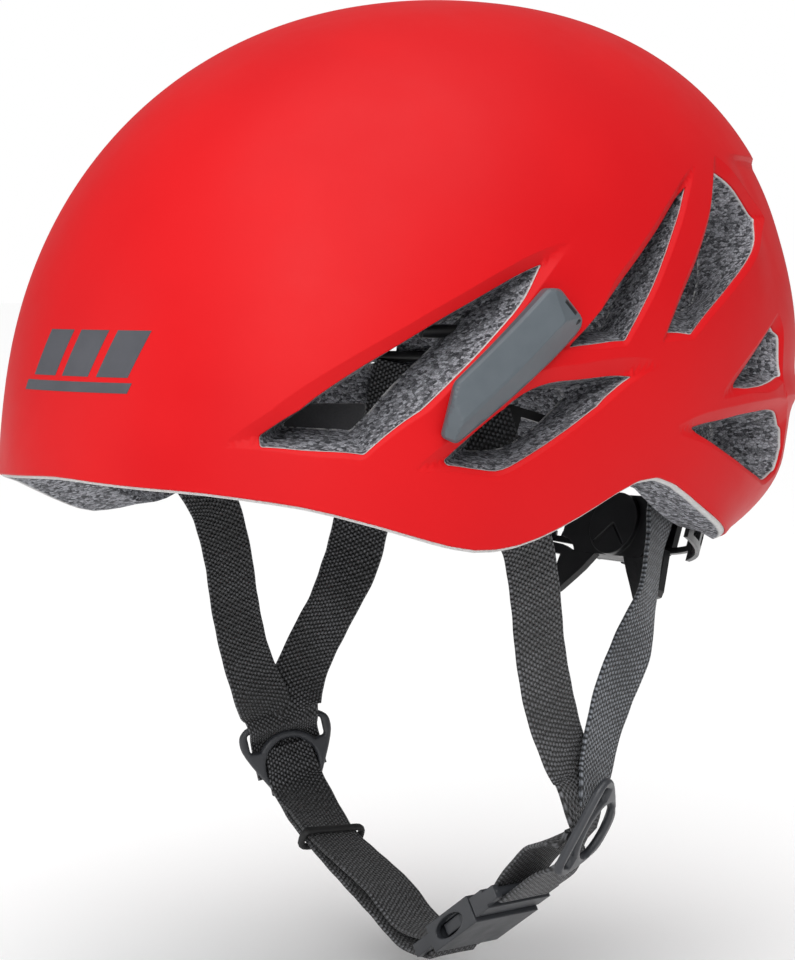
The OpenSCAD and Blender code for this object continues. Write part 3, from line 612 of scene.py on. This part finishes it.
def brushed_pad():
    """Black brushed fabric with a short pile."""
    n = Nodes("brushed_pad_fabric")
    pile = n.noise(1500, 4.0, 0.7)
    knit = n.voronoi(850, n.object_space())
    colour = n.mix(pile, (0.010, 0.010, 0.011), (0.036, 0.036, 0.040))
    height = n.plus(n.times(pile, 0.7), knit["Distance"])
    return n.finish(colour, 0.9, n.bump(height, 0.0003, 0.7), Sheen_Weight=0.5, Sheen_Roughness=0.5)


def steel(name, colour, rough):
    """Metal with fine streaks."""
    n = Nodes(name)
    streak = n.noise(900, 4.0)
    mixed = n.mix(streak, colour, tuple(min(1, c * 1.35) for c in colour))
    return n.finish(mixed, n.ramp(streak, 0.2, 0.8, rough - 0.06, rough + 0.1),
                    n.bump(streak, 0.00002, 0.5, n.rounded_edges(0.0002)), Metallic=1.0)


RED = shell_red()
FOAM_GREY = foam()
# each webbing's dark and pale colours span painted shade between the stitches to a painted highlight on
# their crests
WEB_BLACK = webbing("black_webbing", (0.0008, 0.0008, 0.0010), (0.120, 0.122, 0.132), 0.5)
WEB_GREY = webbing("grey_webbing", (0.012, 0.014, 0.017), (0.200, 0.214, 0.240), 0.55)
SLATE = plastic("slate_plastic", (0.070, 0.084, 0.096), 0.42)
DARK_GREY = plastic("dark_grey_plastic", (0.030, 0.032, 0.037), 0.36, 0.0008)
BLACK = plastic("black_plastic", (0.0075, 0.0075, 0.0085), 0.34)
RUBBER = plastic("black_rubber", (0.009, 0.009, 0.0095), 0.6)
MARK_GREY = plastic("printed_grey", (0.050, 0.052, 0.062), 0.5, 0.0001)
PAD = brushed_pad()
SPRING = steel("spring_steel", (0.50, 0.50, 0.50), 0.3)
SCREW = steel("black_screw", (0.08, 0.08, 0.085), 0.35)


def finish_piece(obj, body, node):
    """Fixes a piece to its body and hides the part it stands for."""
    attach(obj, body)
    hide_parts(node)


# ---------------- shell
HOLES = [outline(v[0]) for v in VENTS]
CREASES = [crease(v) for v in VENTS]


def relief(a, z, points):
    """How far the shell's surface dips: the chamfers round the vents and the step at the back."""
    dip = np.zeros(len(a))
    spots = flat(a, z)
    for hole, line in zip(HOLES, CREASES):
        line_flat = flat(*line)
        near = inside(spots, line_flat) | (distance(solid(spots), solid(line_flat)) < 0.05)
        if not near.any():
            continue
        to_line = distance(points[near], dome(*line))
        to_hole = distance(points[near], dome(*hole))
        reach = to_line + to_hole + 0.02
        deepest = np.minimum(CHAMFER_DEPTH, CHAMFER_SLOPE * reach)
        dip[near] = np.maximum(dip[near], deepest * to_line / reach)
    # behind a ledge at the top of the rear vents the shell lies a little lower
    ledge = smoothstep((fold(a) - 121) / 9) * smoothstep((101.5 - z) / 3.5) * smoothstep((z - 40) / 40)
    # the rib between the two rear vents stands out
    rib = smoothstep((fold(a) - 112) / 16) * np.exp(-((z - 25.5) / 4.2) ** 2)
    return dip + LEDGE * ledge - RIB * rib


def outer_shell():
    flat_points, tris = half_sheet(HOLES, CREASES, 0.0, 0.0, SPACING)
    a, z = unflat(flat_points)
    verts = dome(a, z, relief(a, z, dome(a, z)))
    verts[np.abs(flat_points[:, 0]) < 1e-6, 0] = 0
    rows, faces, count = [verts], [tuple(t) for t in tris], len(verts)
    for hole in HOLES:
        deep = relief(*hole, dome(*hole))
        for depth, pull in ((0.0, 0.0), (0.22, 0.06), (0.5, 0.08)):
            edge = dome(*hole, deep)
            rows.append(dome(*hole, deep + depth) + pull * unit(edge.mean(0) - edge))
        faces += stacked(count, len(deep), 3)
        count += 3 * len(deep)
    low = rim_z(SPAN)
    depth = relief(SPAN, low, dome(SPAN, low))
    # the rim turns inward: how far in and how high above its lowest line
    profile = [(0.0, 0.0), (0.25, -0.3), (0.8, -0.35), (1.15, 0.1), (1.2, 3.0)]
    rows += [on_seam(dome(SPAN, low + lift, depth + inset)) for inset, lift in profile]
    faces += stacked(count, len(SPAN), len(profile), closed=False)
    verts, faces = mirrored(np.concatenate(rows), faces)
    obj = new_object("shell_skin", verts, faces, RED)
    tidy(obj, 11)
    finish_piece(obj, ROOT, "outer_shell")


def tidy(obj, degrees=None, gap=0.00004):
    """Welds points that meet, turns faces outward and shades edges above an angle as sharp."""
    b = bmesh.new()
    b.from_mesh(obj.data)
    bmesh.ops.remove_doubles(b, verts=b.verts, dist=gap)
    bmesh.ops.recalc_face_normals(b, faces=b.faces)
    b.normal_update()
    if degrees:
        for edge in b.edges:
            edge.smooth = edge.calc_face_angle(0.0) < math.radians(degrees)
    b.to_mesh(obj.data)
    b.free()


# the wall of a vent: how deep, how far towards the vent's middle in millimetres, how strong the painted
# highlight is
WALL = [(0.0, 0.12, 1.0), (0.015, 0.12, 1.0), (0.034, 0, 0.55), (0.08, 0, 0.0), (0.25, 0, 0.0),
        (0.5, 0, 0.0), (0.75, 0, 0.0), (0.92, 0, 0.0), (0.97, -0.35, 0.5)]
# the foam's edge round the head: how far in, how high above the rim, how strong the painted highlight is
BRIM = [(1.15, 2.0, 1), (1.0, -0.35, 1), (1.25, -0.95, 1), (1.9, -1.2, 0.9), (3.2, -1.1, 0.3),
        (8, -0.3, 0), (14, 1.1, 0), (19.5, 2.2, 0), (21.4, 3.0, 0.3)]


def vent_wall(hole, inner_hole):
    """Rows of points from a vent's opening in the shell down to the foam's inner face."""
    top = dome(*hole, relief(*hole, dome(*hole)) + 0.36)
    low = dome(*inner_hole, FOAM, FOAM_TOP)
    rows = []
    for share, pull, _ in WALL:
        row = top * (1 - share) + low * share
        centre = top.mean(0) * (1 - share) + low.mean(0) * share
        rows.append(row + pull * unit(centre - row))
    return rows + [low]


def brim_rows(low):
    """Rows of points round the foam's lower edge, from the shell to the inner face."""
    dip = relief(SPAN, low, dome(SPAN, low))
    rows = []
    for inset, lift, _ in BRIM:
        row = dome(SPAN, low + lift, inset + dip * max(0.0, 1 - inset / 10))
        if inset > 14:
            share = (inset / FOAM) ** 1.5
            row = row * (1 - share) + dome(SPAN, low + lift, FOAM, FOAM_TOP) * share
        rows.append(on_seam(row))
    return rows + [on_seam(dome(SPAN, low + INNER_LIFT, FOAM, FOAM_TOP))]


def foam_liner():
    inner_holes = [outline(v[1], FOAM_TOP, 1.2) for v in VENTS]
    flat_points, tris = half_sheet(inner_holes, None, FOAM_TOP, INNER_LIFT, INNER_SPACING)
    a, z = unflat(flat_points, FOAM_TOP)
    verts = dome(a, z, FOAM, FOAM_TOP)
    verts[np.abs(flat_points[:, 0]) < 1e-6, 0] = 0
    rows, faces, count = [verts], [tuple(t) for t in tris], len(verts)
    # pale holds each point's painted highlight: none on the inner face's field, and along the vents' and
    # brim's edges as WALL and BRIM give and on the inner face's edge rows
    pale = [np.zeros(count)]
    for hole, inner_hole in zip(HOLES, inner_holes):
        wall = vent_wall(hole, inner_hole)
        rows += wall
        pale += [np.full(len(wall[0]), light) for light in [w[2] for w in WALL] + [0.8]]
        faces += stacked(count, len(wall[0]), len(wall))
        count += len(wall) * len(wall[0])
    brim = brim_rows(rim_z(SPAN))
    rows += brim
    pale += [np.full(len(SPAN), light) for light in [b[2] for b in BRIM] + [0.4]]
    faces += stacked(count, len(SPAN), len(brim), closed=False)
    verts, faces = mirrored(np.concatenate(rows), faces)
    obj = new_object("liner", verts, faces, FOAM_GREY, edge=np.tile(np.concatenate(pale), 2))
    tidy(obj, 50)
    finish_piece(obj, ROOT, "foam_liner")


# ---------------- printed mark and pads
# how far the print stands proud of the shell and reaches into it
PRINT_PROUD, PRINT_DEEP = 0.09, 0.06
# gap between the foam and a pad
PAD_GAP = 0.3


def patch(name, left, width, slant, low, height, cols, rows):
    """A thin slanted plate printed on the shell, by its azimuths, heights and points each way."""
    u, v = np.meshgrid(np.linspace(0, 1, cols), np.linspace(0, 1, rows))
    a, z = (left + width * u + slant * v).ravel(), (low + height * v).ravel()
    number, faces = grid_sheets(rows, cols)
    ring = [*number[0], *number[1:, -1], *number[-1, -2::-1], *number[-2:0:-1, 0]]
    faces += strip(ring, [rows * cols + k for k in ring])
    points = np.concatenate([dome(a, z, -PRINT_PROUD, -PRINT_PROUD), dome(a, z, PRINT_DEEP, PRINT_DEEP)])
    obj = new_object(name, points, faces, MARK_GREY)
    tidy(obj, 40)
    finish_piece(obj, ROOT, "front_mark")


def front_mark():
    """Three slanted bars over a long one, printed on the front."""
    for k in range(3):
        patch(f"mark_bar_{k}", -7.6 + 7.2 * k, 5.6, 2.6, 33.5, 13.5, 7, 9)
    patch("mark_line", -10, 22.6, 0.6, 29, 3, 26, 4)


def dome_edge(x):
    """A cushion's rounded rise from its edge, as x goes from 0 to 1."""
    return np.sqrt(np.clip(1 - (1 - np.clip(x, 0, 1)) ** 2, 0, 1))


def brow_pad():
    """A quilted cushion along the foam's front, with five seams."""
    cols, rows = 91, 15
    u, v = np.meshgrid(np.linspace(0, 1, cols), np.linspace(0, 1, rows))
    a, z = -44 + 88 * u, 9.5 + 17 * v
    to_edge = np.minimum.reduce([u * cols / 5, (1 - u) * cols / 5, v * rows / 5, (1 - v) * rows / 5])
    thick = 5.2 * (0.45 + 0.55 * np.abs(np.sin(5 * math.pi * u)) ** 0.35) * dome_edge(to_edge)
    face = dome(a, z, FOAM + PAD_GAP + thick, FOAM_TOP + PAD_GAP + thick)
    back = dome(a, z, FOAM + PAD_GAP, FOAM_TOP + PAD_GAP)
    points = np.concatenate([face.reshape(-1, 3), back.reshape(-1, 3)])
    obj = new_object("brow_cushion", points, grid_sheets(rows, cols)[1], PAD)
    tidy(obj, gap=0.0001)
    obj.modifiers.new("soft", "SUBSURF").levels = 1
    obj.modifiers["soft"].render_levels = 1
    finish_piece(obj, ROOT, "brow_pad")


# ---------------- webbing
# width of the webbing and half its thickness
WEB_W, WEB_HALF_T = 20.0, 0.75


def web_section():
    """The webbing's cross-section: a flat bar with rounded selvedges."""
    half, t = WEB_W / 2, WEB_HALF_T
    right = [(0.2 * half, -t), (0.6 * half, -t), (half - 0.6, -t), (half - 0.1, -t * 0.35),
             (half, t * 0.2), (half - 0.3, t * 0.75), (half - 0.8, t), (0.6 * half, t), (0.2 * half, t)]
    return right + [(-x, y) for x, y in right[::-1]]


def ribbon(name, route, material, wave, seed, step=1.6):
    """Flat webbing along [point, direction of its width, share of its width], with a measured UV map."""
    both = catmull([[*stop[0], *unit(stop[1]), stop[2] if len(stop) > 2 else 1.0] for stop in route], step)
    points, side, share = both[:, :3], both[:, 3:6], both[:, 6]
    tangent = unit(np.gradient(points, axis=0))
    side = unit(side - (side * tangent).sum(1)[:, None] * tangent)
    face = np.cross(tangent, side)
    length = np.concatenate([[0], np.cumsum(np.linalg.norm(np.diff(points, axis=0), axis=1))])
    section = web_section()
    m = len(section)
    verts, uvs = [], []
    for i in range(len(points)):
        for u, w in section:
            bow = wave * math.sin(length[i] / 9.0 + seed) * (2 * u / WEB_W) ** 2
            edge = 1 + 0.008 * math.sin(length[i] / 1.6 + seed)
            verts.append(points[i] + side[i] * u * edge * share[i] + face[i] * (w + bow))
            uvs.append((u + WEB_W / 2 + 0.2, length[i]))
    faces = stacked(0, m, len(points))
    last = (len(points) - 1) * m
    faces += [tuple(range(m - 1, -1, -1)), tuple(range(last, last + m))]
    obj = new_object(name, verts, faces, material, uvs=uvs)
    tidy(obj, 60, 0.000005)
    return obj


# a strap's course as points and the direction of its width there
FORE_AFT = (0, 1, 0)
FRONT_ROUTE = [
    ((75.8, -41, 44), (0.38, 0.92, 0.2)), ((77.8, -37.5, 30), (0.35, 0.93, 0.2)),
    ((79.4, -32, 14), (0.25, 1, 0.25)), ((79.2, -24.5, -2), (0.1, 1, 0.25)),
    ((78.2, -16, -15), (0, 1, 0.15)), ((77.2, -11, -32), FORE_AFT), ((76.8, -8.2, -50), FORE_AFT),
    ((76.6, -4.4, -66), (0, 1, 0.1)), ((76.4, 0.8, -79), (-0.1, 1, 0.2)),
    ((76.2, 6, -88.5), (-0.2, 1, 0.3)),
]
REAR_ROUTE = [
    ((71, 61.5, 32), (-0.42, 0.9, 0)), ((71.8, 58.5, 18), (-0.4, 0.92, 0)),
    ((71.2, 54.5, 5), (-0.35, 1, 0)), ((71, 49, -9), (-0.35, 1, 0)),
    ((72.2, 44.5, -22), (-0.5, 0.87, 0)), ((73.4, 40.5, -37), (-0.48, 0.88, -0.1)),
    ((74.6, 33, -52), (-0.15, 1, -0.15)), ((75.2, 24.6, -65), (-0.15, 1, -0.15)),
    ((76, 18.8, -77), (-0.25, 1, -0.1)), ((76.8, 15.2, -88), (-0.3, 1, 0)),
]


# each divider: centre, direction across it, direction up it
DIVIDERS = {
    "left": ((76.5, 14.5, -107), (0.256, 0.4, 0.88), (0.492, -0.838, 0.239)),
    "right": ((-76.5, 16, -107.2), (0.4, 0.9, 0.22), (-0.03, 0, 1)),
}


def divider_frame(side):
    """A divider's centre and its directions across, up and out."""
    centre, across, up = (np.array(v, float) for v in DIVIDERS[side])
    across = unit(across)
    out = unit(np.cross(across, up))
    return centre, across, np.cross(out, across), out


def by_divider(side, spots, shift=0.0):
    """Route points at [up, out, share of the width] places on a divider."""
    centre, across, up, out = divider_frame(side)
    start = centre + shift * across
    return [(tuple(start + u * up + o * out), tuple(across), share) for u, o, share in spots]


# over the right divider's top bar, through its slot and behind its round opening
OVER_BAR = [(21.0, 2.8, 0.92), (17.2, 2.3, 0.80), (15.0, 2.1, 0.75), (12.8, 0.0, 0.72),
            (10.6, -2.3, 0.72), (4.0, -2.6, 0.75), (-3.0, -2.2, 0.75)]
# the left straps end behind the left divider
FLAT_BEHIND = (-0.33, 0.93, 0.165)
LEFT_FRONT_END = [((78.6, 6.2, -97.2), FLAT_BEHIND, 0.9), ((76.4, 11.5, -103.5), FLAT_BEHIND, 0.9),
                  ((71.4, 14.5, -111.5), FLAT_BEHIND, 0.85)]
LEFT_REAR_END = [((77.2, 13.2, -95), FLAT_BEHIND, 0.85), ((74.8, 14.2, -101), FLAT_BEHIND, 0.75)]


def mirror_route(route):
    """A left route on the right side."""
    return [((-p[0], p[1], p[2]), (-s[0], s[1], s[2])) for p, s in route]


def four_straps():
    """Two straps a side from the liner to the divider; the left rear one is grey."""
    right_front = mirror_route(FRONT_ROUTE[:-1]) + by_divider("right", OVER_BAR, -5.2)
    right_rear = mirror_route(REAR_ROUTE[:-1]) + by_divider("right", OVER_BAR, 5.2)
    for node, route, material, slot, seed in (
            ("front_strap_left", FRONT_ROUTE + LEFT_FRONT_END, WEB_BLACK, "webbing_black", 0.0),
            ("front_strap_right", right_front, WEB_BLACK, "webbing_black", 1.3),
            ("rear_strap_left", REAR_ROUTE + LEFT_REAR_END, WEB_GREY, "webbing_grey", 2.1),
            ("rear_strap_right", right_rear, WEB_BLACK, "webbing_black", 3.4)):
        finish_piece(ribbon(node + "_web", route, material, 0.15, seed), ROOT, node)


# ---------------- buckle frame and chin webbing
# the buckle's centre and its directions: along the strap, across it and up
BUCKLE_AT = np.array([29.0, 11.0, -142.5])
BX = unit([0.83, -0.03, 0.55])
BZ = unit(np.array([-0.55, 0, 0.83]) - (np.array([-0.55, 0, 0.83]) @ BX) * BX)
BY = np.cross(BZ, BX)
# places of the two webbing bars along the buckle, and the radius of the webbing's turn
SOCKET_BAR_X, PLUG_BAR_X, TURN_R = -20.5, 24.2, 2.7


def buckle_point(x, y, z):
    """A place on the buckle in the shared frame."""
    return BUCKLE_AT + x * BX + y * BY + z * BZ


def u_turn(x, way, start):
    """The webbing's turn round a bar, from an angle to the buckle's upper face."""
    return [(buckle_point(x - way * TURN_R * math.sin(t), 0, TURN_R * math.cos(t)), BY)
            for t in np.radians(np.linspace(start, start + 180, 6))]


# the chin strap's upper and lower run, and the short loop's run in and out
CHIN_TOP = [
    ((-62.8, 15.6, -121.4), (0.12, 1, 0.05)), ((-50.5, 13.2, -127.6), FORE_AFT),
    ((-36, 11.8, -133.2), FORE_AFT), ((-18, 11.4, -140.6), FORE_AFT), ((-3, 11.4, -149.6), FORE_AFT),
]
CHIN_LOW = [
    ((-1.6, 11.4, -155.4), FORE_AFT), ((-18, 11.2, -146.6), FORE_AFT),
    ((-36.6, 11.6, -136.6), FORE_AFT), ((-51.2, 13, -129.6), FORE_AFT),
    ((-64, 15.4, -123.4), (0.12, 1, 0.05)), ((-73.4, 17.1, -115.9), (0.3, 0.95, 0.05)),
]
LOOP_IN = [
    ((73.6, 9.8, -106.4), FLAT_BEHIND, 0.8), ((72.4, 9.5, -108.4), FLAT_BEHIND, 0.9),
    ((66.8, 10.4, -109.9), (-0.2, 0.97, 0.1)), ((60.6, 10.9, -113.7), FORE_AFT),
    ((54.2, 10.6, -119.4), FORE_AFT), ((49.4, 10.4, -124.4), FORE_AFT),
]
LOOP_OUT = [
    ((55.8, 10.5, -127.6), FORE_AFT), ((62.2, 10.8, -123), FORE_AFT),
    ((67.2, 10.9, -118.3), (-0.2, 0.97, 0.1)), ((69.8, 10.7, -115.6), FLAT_BEHIND, 0.9),
    ((72.8, 10.9, -110.8), FLAT_BEHIND, 0.8),
]


def chin_webbing():
    """The chin strap, fixed to no body, and the short loop."""
    upper = by_divider("right", [(7.0, -1.0, 0.78), (4.0, -0.4, 0.84), (-1.0, 0.6, 0.9), (-7.0, 2.4, 0.97)])
    under = by_divider("right", [(-9.0, -2.2, 0.9), (-4.0, -3.4, 0.8)])
    route = upper + CHIN_TOP + u_turn(SOCKET_BAR_X, -1, 39) + CHIN_LOW + under
    right = ribbon("chin_strap_web", route, WEB_BLACK, 0.25, 0.7, 1.0)
    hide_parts("chin_strap_right")
    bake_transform(right)
    left = ribbon("chin_loop_web", LOOP_IN + u_turn(PLUG_BAR_X, 1, 20) + LOOP_OUT, WEB_BLACK, 0.15, 1.9, 1.0)
    finish_piece(left, ROOT, "chin_loop_left")


def keeper_ring():
    """A rounded rubber ring round the two layers of the right chin strap."""
    along, thick = unit([-0.88, 0.1, 0.44]), np.array([0.44, 0, 0.88])
    across = unit(np.cross(thick, along))
    thick = np.cross(along, across)
    centre, half_t, half_w = np.array([-50.8, 13.1, -128.6]), 3.3, 12
    path = rounded([(-half_t, -half_w), (half_t, -half_w), (half_t, half_w), (-half_t, half_w)], 2.6)
    tangent = unit(np.roll(path, -1, 0) - np.roll(path, 1, 0))
    outward = np.c_[tangent[:, 1], -tangent[:, 0]]
    m, ring = len(path), 12
    verts = []
    for p, o in zip(path, outward):
        for t in np.linspace(0, 2 * math.pi, ring, endpoint=False):
            q = p + o * 1.05 * math.cos(t)
            verts.append(centre + q[0] * thick + q[1] * across + 1.5 * math.sin(t) * along)
    faces = stacked(0, ring, m) + strip(range((m - 1) * ring, m * ring), range(ring))
    obj = new_object("keeper_loop", verts, faces, RUBBER)
    tidy(obj)
    finish_piece(obj, ROOT, "keeper_ring")


# ---------------- moulded plates and clips
def filled(outer, holes, spacing, lines=()):
    """Triangles that fill a flat outline with holes, with a fine even field of points."""
    loops = [outer, *holes]
    points = [np.asarray(loop, float) for loop in loops] + [np.asarray(line, float) for line in lines]
    edges, start = [], 0
    for k, loop in enumerate(points):
        n = len(loop)
        last = n if k < len(loops) else n - 1
        edges += [(start + i, start + (i + 1) % n) for i in range(last)]
        start += n
    low, high = points[0].min(0), points[0].max(0)
    xs, ys = np.arange(low[0], high[0], spacing), np.arange(low[1], high[1], spacing * 0.87)
    grid = np.array([(x + (j % 2) * spacing / 2, y) for j, y in enumerate(ys) for x in xs])
    good = inside(grid, points[0])
    for hole in points[1:len(loops)]:
        good &= ~inside(grid, hole)
    grid = grid[good]
    for loop in points:
        grid = grid[distance(solid(grid), solid(loop)) > 0.5 * spacing]
    verts, tris = triangles(np.concatenate([*points, grid]), edges, points[0], points[1:len(loops)], 1e-6)
    return verts, tris, loops


def edge_gap(verts, loops):
    """Each flat point's distance to the nearest border."""
    return np.minimum.reduce([distance(solid(verts), solid(loop)) for loop in loops])


def plate(name, outer, holes, thick, soft, place, material):
    """A moulded plate with rounded edges: place turns [x, y, height] points into the shared frame."""
    verts, tris, loops = filled(outer, holes, 0.55)
    ease = np.clip(edge_gap(verts, loops) / soft, 0, 1)
    height = thick / 2 - soft * (1 - np.sqrt(1 - (1 - ease) ** 2))
    obj = two_faced(name, verts, height, -height, tris, place, material)
    tidy(obj, 45, 0.000005)
    return obj


def arc(radius, first, last, n, endpoint=True):
    """Points on a circle round the origin, from one angle in degrees to another."""
    t = np.radians(np.linspace(first, last, n, endpoint=endpoint))
    return np.c_[radius * np.cos(t), radius * np.sin(t)]


def dividers():
    """Two strap dividers: a round opening below, a wide slot that arches over it above."""
    outer = rounded([(-16.6, 13.6), (-13, 16.6), (13, 16.6), (16.6, 13.6), (16.6, 7.4), (6.4, -12),
                     (0, -13.4), (-6.4, -12), (-16.6, 7.4)], 3.4)
    arch, top, out_x, low_y = 12.2, 13.9, 13.6, 7.2
    lowest = math.degrees(math.asin(low_y / arch))
    slot = rounded([(out_x, low_y), (out_x, top), (-out_x, top), (-out_x, low_y)], 1.3)
    slot = np.array([p for p in slot if np.hypot(*p) > arch + 0.05 and p[1] > low_y + 0.05])
    slot = slot[np.argsort(-np.arctan2(slot[:, 1], slot[:, 0]))][::-1]
    slot = np.concatenate([slot, arc(arch, 180 - lowest, lowest, 24)])
    hole = arc(9.4, 0, 360, 48, endpoint=False)
    for side in DIVIDERS:
        centre, across, up, out = divider_frame(side)

        def place(p, c=centre, a=across, u=up, o=out):
            lift = 1.1 * np.clip(1 - np.abs(np.hypot(p[:, 0], p[:, 1]) - 10) / 6, 0, 1) * (p[:, 1] > -6)
            return c + p[:, :1] * a + p[:, 1:2] * u + p[:, 2:3] * (1 + 0.12 * lift[:, None]) * o

        obj = plate(f"divider_{side}_frame", outer, [hole, slot], 2.6, 0.9, place, DARK_GREY)
        finish_piece(obj, ROOT, f"divider_{side}")


# a clip's two ends as azimuth and height
CLIP_SIDE = np.array([[74.2, 55.7], [55.5, 17.9]])
CLIP_BACK = np.array([[180.0, 74.0], [180.0, 40.0]])


def clip(name, ends, body, mirror=False):
    """A headlamp clip: a bar with two long facets, a sloping upper end and a pointed tip."""
    start, stop = dome(*ends[0]), dome(*ends[1])
    length = float(np.linalg.norm(stop - start))
    axis = unit(np.cross(dome(*ends[0], -4, -4) - start, stop - start))
    outer = rounded([(1.2, -5.4), (1.6, 7.2), (5.4, 8.8), (length - 1.6, 4.8), (length + 0.4, 0.2),
                     (length - 12.4, -8.7), (4.6, -8.7)], 1.5)
    ridge = np.c_[np.linspace(8.5, length - 4.2, 40), np.linspace(0.6, 1.4, 40)]
    verts, tris, loops = filled(outer, [], 0.8, [ridge])
    gap = edge_gap(verts, loops)
    x, y = verts[:, 0], verts[:, 1]
    tip = (length + 0.4 - x) * 0.80 - (0.2 - y) * 0.60
    # two long facets that meet in the ridge, and the slopes of the upper end and of the tip
    roof = np.minimum.reduce([5.3 + (y + 8.7) * 0.27, 1.5 + (8.8 - y) * 0.80, 3.9 + x * 0.48,
                              3.2 + 0.75 * tip])
    roof = roof - 0.9 * (1 - np.sqrt(1 - (1 - np.clip(gap / 0.9, 0, 1)) ** 2))

    def place(p):
        share = p[:, 0] / length
        spot = ends[0] + share[:, None] * (ends[1] - ends[0])
        out = dome(spot[:, 0], spot[:, 1], -p[:, 2], -p[:, 2]) + p[:, 1:2] * axis
        return out * [-1, 1, 1] if mirror else out

    obj = two_faced(name + "_bar", verts, roof, np.full(len(verts), 0.7), tris, place, SLATE)
    tidy(obj, 14, 0.000005)
    finish_piece(obj, body, name)


def clips():
    clip("clip_left", CLIP_SIDE, "clip_left")
    clip("clip_right", CLIP_SIDE, "clip_right", mirror=True)
    clip("clip_rear", CLIP_BACK, "clip_rear")


def crown_pad():
    """A cross-shaped cushion under the foam's crown."""
    half = [(13, -55), (13, -14), (48, -14), (48, 14), (13, 14), (13, 55)]
    cross = rounded(half + [(-x, -y) for x, y in half], 6)
    verts, tris, loops = filled(cross, [], 2.2)
    seam = np.minimum(np.abs(np.abs(verts[:, 1]) - 22), np.abs(np.abs(verts[:, 0]) - 22))
    puff = dome_edge(edge_gap(verts, loops) / 5) * (0.6 + 0.4 * np.clip(seam / 3, 0, 1))
    x, y = verts.T
    top = 14 + 112.3 * np.sqrt(1 - (x / 74) ** 2 - ((y + 1) / 96) ** 2)
    obj = two_faced("crown_cushion", verts, top, top - 0.6 - 6.0 * puff, tris,
                    lambda points: points + [0, 18, 0], PAD)
    tidy(obj)
    finish_piece(obj, ROOT, "crown_pad")


# ---------------- materials of the parts that stay
STAYING = {
    BLACK: ("front_anchor_left", "front_anchor_right", "rear_anchor_left", "rear_anchor_right",
            "clip_posts", "temple_pins", "cradle_housing", "housing_cover", "nape_loops",
            "arm_left", "arm_right", "dial_knob", "dial_pinion"),
    DARK_GREY: ("buckle_male", "buckle_female", "prong_front", "prong_rear"),
    SPRING: ("click_spring",),
    SCREW: ("cradle_screws",),
}


def dress_cad_parts():
    for material, nodes in STAYING.items():
        for node in nodes:
            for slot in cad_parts[node].material_slots:
                slot.material = material


# ---------------- camera, floor and light
# where the camera stands, in degrees and metres, its height of aim and its focal length in millimetres
AZIMUTH, ELEVATION, AWAY = 50, 4, 0.9
AIM_Z, LENS = -0.0028, 104.6
# how far the floor lies under the harness, to leave room for the buckle's half that slides off downward
FLOOR_GAP = 0.0145


def camera():
    target = Vector((0, 0, AIM_Z))
    turn, rise = math.radians(AZIMUTH), math.radians(ELEVATION)
    direction = Vector((math.sin(turn) * math.cos(rise), -math.cos(turn) * math.cos(rise), math.sin(rise)))
    data = bpy.data.cameras.new("camera")
    data.lens = LENS
    data.clip_start = 0.01
    obj = placed("camera", data)
    obj.location = target + direction * AWAY
    obj.rotation_euler = (-direction).to_track_quat("-Z", "Y").to_euler()
    bpy.context.scene.camera = obj


def floor():
    low, half = float(cad_low[2]) - FLOOR_GAP, 30.0
    n = Nodes("pale_floor")
    tone = n.mix(n.noise(3, 2.0), (0.93, 0.93, 0.93), (0.95, 0.95, 0.95))
    material = n.finish(tone, 0.8, n.bump(n.noise(600, 2.0), 0.00005, 0.3))
    corners = [(x * half, y * half, low) for x, y in ((-1, -1), (1, -1), (1, 1), (-1, 1))]
    obj = new_object("floor", np.array(corners) / MM, [(0, 1, 2, 3)], material)


def lamp(name, kind, energy, direction, place=(0, 0, 0)):
    """A light that shines in a direction."""
    data = bpy.data.lights.new(name, kind)
    data.energy = energy
    obj = placed(name, data)
    obj.location = place
    obj.rotation_euler = Vector(direction).to_track_quat("-Z", "Y").to_euler()
    return data


def panel(name, place, size, energy):
    """A square soft box aimed at the helmet."""
    lamp(name, "AREA", energy, Vector((0, 0, 0.03)) - Vector(place), place).size = size


def background(tree, strength):
    node = tree.nodes.new("ShaderNodeBackground")
    node.inputs["Color"].default_value = (1, 1, 1, 1)
    node.inputs["Strength"].default_value = strength
    return node.outputs[0]


def lights():
    """White studio: the world is white to the eye and a soft dim fill for the object."""
    bpy.context.scene.view_settings.view_transform = "Standard"
    world = bpy.data.worlds.new("studio")
    bpy.context.scene.world = world
    world.use_nodes = True
    tree = world.node_tree
    ray = tree.nodes.new("ShaderNodeLightPath")
    choice = tree.nodes.new("ShaderNodeMixShader")
    tree.links.new(ray.outputs["Is Camera Ray"], choice.inputs[0])
    tree.links.new(background(tree, 0.30), choice.inputs[1])
    tree.links.new(background(tree, 1.0), choice.inputs[2])
    tree.links.new(choice.outputs[0], tree.nodes["World Output"].inputs[0])
    lamp("sky_panel", "SUN", 2.7, (-0.30, 0.28, -1.0)).angle = math.radians(75)
    panel("key", (1.0, -1.25, 0.75), 1.1, 12)
    panel("front", (-0.9, -1.4, 0.5), 0.8, 3)


# ---------------- build
camera()
floor()
lights()
outer_shell()
foam_liner()
front_mark()
brow_pad()
crown_pad()
four_straps()
chin_webbing()
keeper_ring()
dividers()
clips()
dress_cad_parts()
